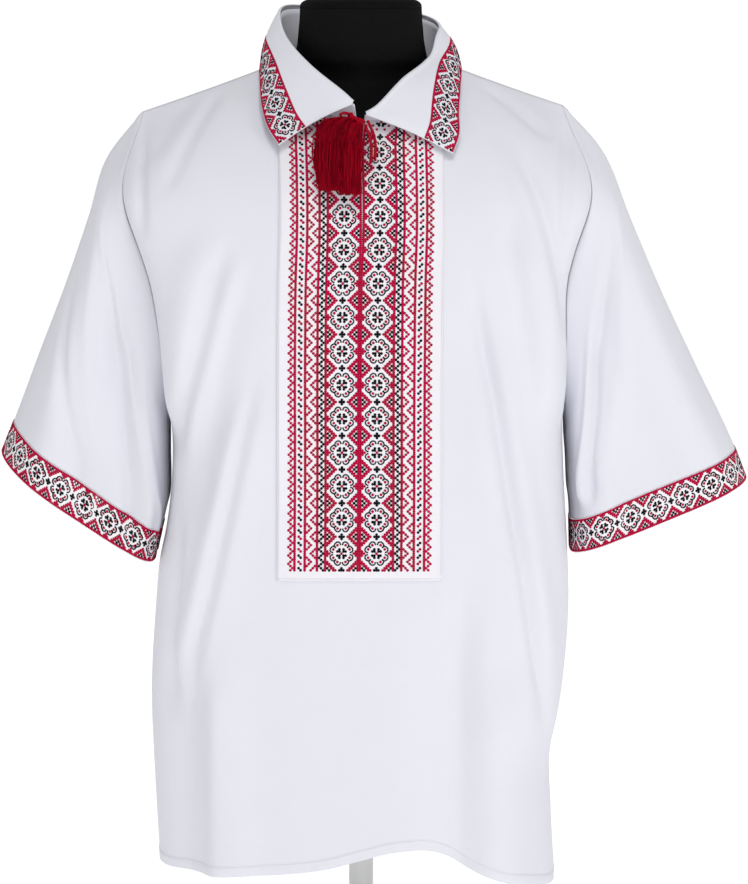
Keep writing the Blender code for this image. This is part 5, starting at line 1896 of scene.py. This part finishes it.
# ---- tie
@dataclass
class Tie:
    """The red tie: a knot at the throat, two tassels on short leads and two free ends."""

    radius: float = 0.0017
    cord_points: int = 60
    cord_sides: int = 12
    cord_groove: float = 0.26
    cord_ends: float = 0.03
    twist_length: float = 0.011
    knot_points: int = 90
    knot_sides: int = 10
    knot_groove: float = 0.24
    knot_twists: float = 9.0
    knot_depth: float = 0.62
    lead_points: int = 30
    lead_twists: float = 2.0
    knot_place: Place = (-0.0015, -0.0930, 0.8515)
    knot_size: Place = (0.0065, 0.0050, 0.0048)
    threads: int = 480
    thread_radius: float = 0.00034
    thread_sections: int = 15
    root_radius: float = 0.0042
    crimp: float = 0.0008
    uneven_ends: Pair = (-0.0040, 0.0036)
    root_sag: float = 0.6
    pull_depth: Pair = (-0.003, 0.004)
    hang_depth: Pair = (0.016, 0.001)
    crowding: float = 0.85
    waves: int = 5
    wave_turn: float = 2.6
    marked_length: float = 0.07
    wrap_turns: int = 4
    wrap_radius: float = 0.0006
    wrap_height: float = 0.004
    wrap_start: float = -0.2
    wrap_slack: float = 1.12
    wrap_sections: int = 22

    def cord(self, name: str, places: Route, wardrobe: Wardrobe) -> None:
        """A free end of the tie: two strands twisted round each other."""
        path = route_through(places, self.cord_points)
        radii = self.radius * soft_ends(len(path), self.cord_ends)
        length = float(lengths_along(path, 0)[-1])
        parts = tube(path, radii, self.cord_sides, 2, length / self.twist_length, self.cord_groove)
        piece = make_piece(f"{name}_cord", *parts)
        dress(piece, wardrobe.cord, "red_thread", name)

    def knot(self, wardrobe: Wardrobe) -> None:
        """Three crossing loops of cord in an oval, and the leads to the tassels.

        Args:
            wardrobe: The finishes.
        """
        t = np.linspace(0.0, 2 * math.pi, self.knot_points)
        reach = (2.0 + np.cos(3 * t)) / 3.0
        loops = stack(reach * np.cos(2 * t), np.sin(3 * t) * self.knot_depth,
                      reach * np.sin(2 * t))
        size = np.array(self.knot_size) - self.radius
        path = np.array(self.knot_place) + loops * size
        routes = [(path, self.knot_twists)]
        routes += [(route_through(places, self.lead_points), self.lead_twists)
                   for places in TIE_LEADS.values()]
        parts = [tube(route, np.full(len(route), self.radius), self.knot_sides, 2, twists,
                      self.knot_groove) for route, twists in routes]
        piece = make_piece("tie_knot_cord", *merge_parts(parts))
        dress(piece, wardrobe.cord, "red_thread", "tie_knot")

    def tassel(self, name: str, wardrobe: Wardrobe) -> None:
        """Threads that fan out from the root, bend over and hang down to the foot.

        A thread has its own place in the foot's oval. It is a cubic curve with four
        points: the root, a pull sideways from it, a shoulder above its end, its end.

        Args:
            name: The solid that it stands for.
            wardrobe: The finishes.
        """
        sizes = TASSELS[name]
        chance = np.random.default_rng(len(name))
        turn = np.arange(self.threads) * math.pi * (3.0 - math.sqrt(5.0))
        out = np.sqrt((np.arange(self.threads) + 0.5) / self.threads)
        across, deep = np.cos(turn) * out, np.sin(turn) * out
        root = np.array(sizes["root"])
        start = root + stack(across, deep, -self.root_sag * across ** 2) * self.root_radius
        radii = sizes["foot_radii"]
        end = np.array(sizes["foot"]) + stack(across * radii[0], deep * radii[1],
                                              chance.uniform(*self.uneven_ends, self.threads))
        lean, spread, lift = sizes["first"]
        depth = self.pull_depth[0] + self.pull_depth[1] * deep
        pull = start + stack(lean + spread * across, depth, lift - lift * across)
        bulge, rise, slope = sizes["shoulder"]
        depth = self.hang_depth[0] + self.hang_depth[1] * deep
        shoulder = end + stack(bulge * across, depth, rise + slope * across)
        t = np.linspace(0.0, 1.0, self.thread_sections)[None, :, None] ** self.crowding
        strands = (start[:, None] * (1 - t) ** 3 + pull[:, None] * 3 * t * (1 - t) ** 2
                   + shoulder[:, None] * 3 * t ** 2 * (1 - t) + end[:, None] * t ** 3)
        wander = chance.normal(0.0, self.crimp, (self.threads, 2, self.waves))
        wave = np.arange(self.waves)[:, None]
        waves = np.sin((wave + 1) * self.wave_turn * t[0, :, 0] + wave)
        drift = np.einsum("tak,ks->tsa", wander, waves) * np.sqrt(t)
        strands[..., :2] += drift
        parts = [self.strand_tubes(strands, chance), self.wrap(root, lean)]
        piece = make_piece(f"{name}_threads", *merge_parts(parts))
        dress(piece, wardrobe.plush, "red_thread", name)

    def strand_tubes(self, strands: Numbers, chance: np.random.Generator) -> Parts:
        """Three-sided tubes along all strands at once, closed at both ends.

        Args:
            strands: Each thread's points.
            chance: The source of random numbers.

        Returns:
            The parts.
        """
        count, sections = strands.shape[:2]
        ahead = unit(np.gradient(strands, axis=1))
        side = unit(np.cross(ahead, np.array([0.2, 1.0, 0.1])))
        other = np.cross(ahead, side)
        phase = chance.uniform(0.0, 2 * math.pi, (count, 1, 1))
        around = (np.arange(3) * 2 * math.pi / 3)[None, None] + phase
        points = strands[:, :, None] + self.thread_radius * (
            side[:, :, None] * np.cos(around)[..., None]
            + other[:, :, None] * np.sin(around)[..., None])
        index = np.arange(count * sections * 3).reshape(count, sections, 3)
        turned = np.roll(index, -1, axis=2)
        quads = np.stack([index[:, :-1], turned[:, :-1], turned[:, 1:], index[:, 1:]], axis=-1)
        ends = np.concatenate([index[:, 0, ::-1], index[:, -1]])
        own = chance.uniform(0.0, 1.0, count)
        length = np.linspace(0.0, self.marked_length, sections)
        mark = np.stack(np.broadcast_arrays(own[:, None, None], length[None, :, None]), axis=-1)
        mark = np.broadcast_to(mark, (count, sections, 3, 2)).reshape(-1, 2)
        quads = quads.reshape(-1, 4)
        return points.reshape(-1, 3), [quads, ends], [mark[quads], mark[ends]]

    def wrap(self, root: Numbers, lean: float) -> Parts:
        """Thread wound round the threads' root in a close helix, square to their pull.

        Args:
            root: Where the threads start.
            lean: How far they pull sideways.

        Returns:
            The parts.
        """
        t = np.linspace(0.0, 1.0, self.wrap_turns * self.wrap_sections)
        turn = t * self.wrap_turns * 2 * math.pi
        ahead = unit(np.array([lean, -0.003, -0.002]))
        side = unit(np.cross(ahead, [0.0, 1.0, 0.3]))
        other = np.cross(ahead, side)
        ring = self.root_radius * self.wrap_slack
        path = (root + ahead * (self.wrap_height * (t[:, None] + self.wrap_start))
                + side * (ring * np.cos(turn))[:, None] + other * (ring * np.sin(turn))[:, None])
        return tube(path, np.full(len(path), self.wrap_radius), 6)

    def build(self, wardrobe: Wardrobe) -> None:
        """Make the free ends, the knot and the tassels."""
        for name, places in TIE_ENDS.items():
            self.cord(name, places, wardrobe)
        self.knot(wardrobe)
        for name in TASSELS:
            self.tassel(name, wardrobe)


def soft_ends(count: int, share: float) -> Numbers:
    """Radii that round off at both ends of a path."""
    t = np.linspace(0.0, 1.0, count)
    edge = np.clip(np.minimum(t, 1.0 - t) / share, 0.0, 1.0)
    return 0.55 + 0.45 * np.sqrt(1.0 - (1.0 - edge) ** 2)


# ---- form and stand
@dataclass
class DressForm:
    """A limbless torso covered in black jersey, with a domed neck cap."""

    sides: int = 128
    rings: int = 110
    cap_rise: float = 0.012
    cap_rings: int = 16
    cap_gap: float = 0.0003
    cap_round: Pair = (0.7, 0.8)
    pole_share: float = 0.001

    def build(self, wardrobe: Wardrobe) -> None:
        """Superellipse rings from the hip to the neck, and a low dome on top.

        Args:
            wardrobe: The finishes.
        """
        knots = FORM_RINGS["z"]
        z = np.unique(np.concatenate([np.linspace(knots[0], knots[-1], self.rings), knots]))
        value = {name: np.interp(z, knots, column)[:, None]
                 for name, column in FORM_RINGS.items()}
        around = np.linspace(0.0, 2 * math.pi, self.sides + 1)[None]
        cosine, sine = np.cos(around), np.sin(around)
        power = 2 / value["squareness"]
        x = value["half_width"] * signed_power(cosine, power)
        depth = np.where(sine < 0, value["front"], value["back"])
        y = depth * signed_power(sine, power)
        points = stack(x, y, z[:, None] + 0 * x)
        centre = points[0].mean(axis=0)
        foot = np.stack([centre + (points[0] - centre) * share
                         for share in (self.pole_share, 0.6)])
        body = np.concatenate([foot, points])
        skin = join_grids("torso_form_skin", [body], flip=True)
        dress(skin, wardrobe.jersey, "form_black", "torso_form", "form_neck")

        top = points[-1]
        centre = top.mean(axis=0)
        turn = np.linspace(0.0, math.pi / 2, self.cap_rings)
        scale = np.maximum(np.cos(turn), 0.0) ** self.cap_round[0]
        lift = self.cap_gap + self.cap_rise * np.sin(turn) ** self.cap_round[1]
        scale[-1] = self.pole_share
        dome = centre + (top - centre)[None] * scale[:, None, None]
        dome[..., 2] += lift[:, None]
        under = centre + (top - centre)[None] * np.array([self.pole_share, 0.5])[:, None, None]
        under[..., 2] += self.cap_gap
        dome = np.concatenate([under, dome])
        cap = join_grids("neck_cap_skin", [dome], flip=True)
        dress(cap, wardrobe.cap, "cap_black", "neck_cap")


@dataclass
class Stand:
    """A weighted round base with a hub, a pole, and the flange under the torso."""

    pole_radius: float = 0.0125
    flange_radius: float = 0.045
    flange_height: float = 0.006
    base_radius: float = 0.140
    base_height: float = 0.012
    base_edge: float = 0.004
    hub_radius: float = 0.024
    hub_height: float = 0.026
    seam_gap: float = 0.0003
    axis_radius: float = 0.00002
    hub_edge: float = 0.004
    flange_edge: float = 0.0015
    foot_bevel: float = 0.0006
    flange_bevel: float = 0.001
    hub_fillet: tuple = ((0.0015, 0.006), (0.004, 0.002), (0.008, 0.0))
    pole_fillet: tuple = ((0.004, -0.0015), (0.0, -0.004))
    corner_points: int = 7
    sharp_from: float = 35.0
    sides: int = 96

    def turned(self, name: str, profile: Sequence[Pair], node: str, wardrobe: Wardrobe) -> None:
        """Turn a profile of radius and height round the upright axis."""
        line = np.array(profile)
        around = np.linspace(0.0, 2 * math.pi, self.sides + 1)
        points = stack(line[:, :1] * np.cos(around), line[:, :1] * np.sin(around),
                       line[:, 1:] + 0 * around[None])
        piece = join_grids(name, [points])
        piece.data.set_sharp_from_angle(angle=math.radians(self.sharp_from))
        dress(piece, wardrobe.enamel, "base_enamel", node)

    def rounded(self, corner: Pair, radius: float) -> list[Pair]:
        """A quarter round in place of an outer upper corner."""
        turns = np.linspace(math.pi / 2, 0.0, self.corner_points)
        return [(corner[0] - radius + radius * math.cos(turn),
                 corner[1] - radius + radius * math.sin(turn)) for turn in turns]

    def build(self, wardrobe: Wardrobe) -> None:
        """Make the base with its hub, and the pole with its flange.

        Args:
            wardrobe: The finishes.
        """
        hub_top = self.base_height + self.hub_height
        self.turned("stand_base_enamel", [
            (self.axis_radius, hub_top),
            *self.rounded((self.hub_radius, hub_top), self.hub_edge),
            *[(self.hub_radius + out, self.base_height + up) for out, up in self.hub_fillet],
            *self.rounded((self.base_radius, self.base_height), self.base_edge),
            (self.base_radius, self.foot_bevel),
            (self.base_radius - self.foot_bevel, 0.0),
            (self.axis_radius, 0.0),
        ], "stand_base", wardrobe)
        top = float(FORM_RINGS["z"][0]) - self.seam_gap
        flange = top - self.flange_height
        self.turned("stand_pole_enamel", [
            (self.axis_radius, top),
            *self.rounded((self.flange_radius, top), self.flange_edge),
            (self.flange_radius, flange + self.flange_bevel),
            (self.flange_radius - self.flange_bevel, flange),
            *[(self.pole_radius + out, flange + up) for out, up in self.pole_fillet],
            (self.pole_radius, hub_top + self.seam_gap),
            (self.axis_radius, hub_top + self.seam_gap),
        ], "stand_pole", wardrobe)


# ---- studio
@dataclass
class Studio:
    """Pale floor, soft white surround, a key light, a top light and the camera."""

    camera_place: Place = (0.01326, -4.96273, 1.12922)
    camera_rise: float = 7.0
    lens: float = 199.63
    surround: float = 0.39
    key_power: float = 26.0
    key_place: Place = (3.4, -3.4, 1.6)
    lamp_size: float = 1.6
    top_power: float = 66.0
    top_place: Place = (0.2, -2.4, 4.4)
    aim: Place = (0.0, 0.0, 0.55)
    floor_half: float = 40.0
    floor_white: Place = (0.90, 0.90, 0.90)
    floor_glow: float = 0.68
    sensor: float = 36.0
    far_clip: float = 120.0

    def camera(self) -> None:
        """A long lens looking slightly down at the front."""
        data = bpy.data.cameras.new("camera")
        data.sensor_fit = "VERTICAL"
        data.sensor_height = self.sensor
        data.lens = self.lens
        data.clip_end = self.far_clip
        camera = bpy.data.objects.new("camera", data)
        camera.location = self.camera_place
        camera.rotation_euler = (math.radians(90.0 - self.camera_rise), 0.0, 0.0)
        bpy.context.scene.collection.objects.link(camera)
        bpy.context.scene.camera = camera

    def lamp(self, name: str, place: Place, power: float, size: float) -> None:
        """A square soft light turned to the shirt."""
        data = bpy.data.lights.new(name, "AREA")
        data.energy = power
        data.size = size
        lamp = bpy.data.objects.new(name, data)
        lamp.location = place
        aim = Vector(self.aim) - Vector(place)
        lamp.rotation_euler = aim.to_track_quat("-Z", "Y").to_euler()
        bpy.context.scene.collection.objects.link(lamp)

    def build(self) -> None:
        """Make the camera, the lights and the floor."""
        self.camera()
        self.lamp("key", self.key_place, self.key_power, self.lamp_size)
        self.lamp("top", self.top_place, self.top_power, self.lamp_size)
        world = bpy.data.worlds.new("surround")
        world.use_nodes = True
        sky = world.node_tree.nodes["Background"]
        sky.inputs["Color"].default_value = (1.0, 1.0, 1.0, 1.0)
        sky.inputs["Strength"].default_value = self.surround
        bpy.context.scene.world = world
        bpy.context.scene.view_settings.view_transform = "Standard"
        line = np.linspace(-self.floor_half, self.floor_half, 9)
        points = stack(line[None], line[:, None], 0.0)
        floor = join_grids("floor", [points], flip=True)
        white = StudioWhite("studio_white", self.floor_white, self.floor_glow)
        floor.data.materials.append(white.make())


def main() -> None:
    """Build the studio, then every piece of the shirt, its form and its stand."""
    logging.basicConfig(level=logging.INFO, format="%(message)s")
    Studio().build()
    wardrobe = Wardrobe()
    Tie().build(wardrobe)
    DressForm().build(wardrobe)
    Stand().build(wardrobe)
    body = Body()
    panels = body.build(wardrobe)
    faces = Insert(body).build(panels, wardrobe)
    embroidery = Embroidery()
    embroidery.on_insert(faces, body.slit_foot, wardrobe)
    for hand in Hand:
        sleeve = Sleeve(hand, body)
        sleeve.build(panels, wardrobe)
        embroidery.on_cuff(sleeve, wardrobe)
    collar = Collar(body)
    collar.build(panels, wardrobe)
    embroidery.on_collar(collar, wardrobe)
    seamstress = Seamstress()
    seamstress.body(panels, body, wardrobe)
    seamstress.insert(faces, wardrobe)


if __name__ == "__main__":
    main()
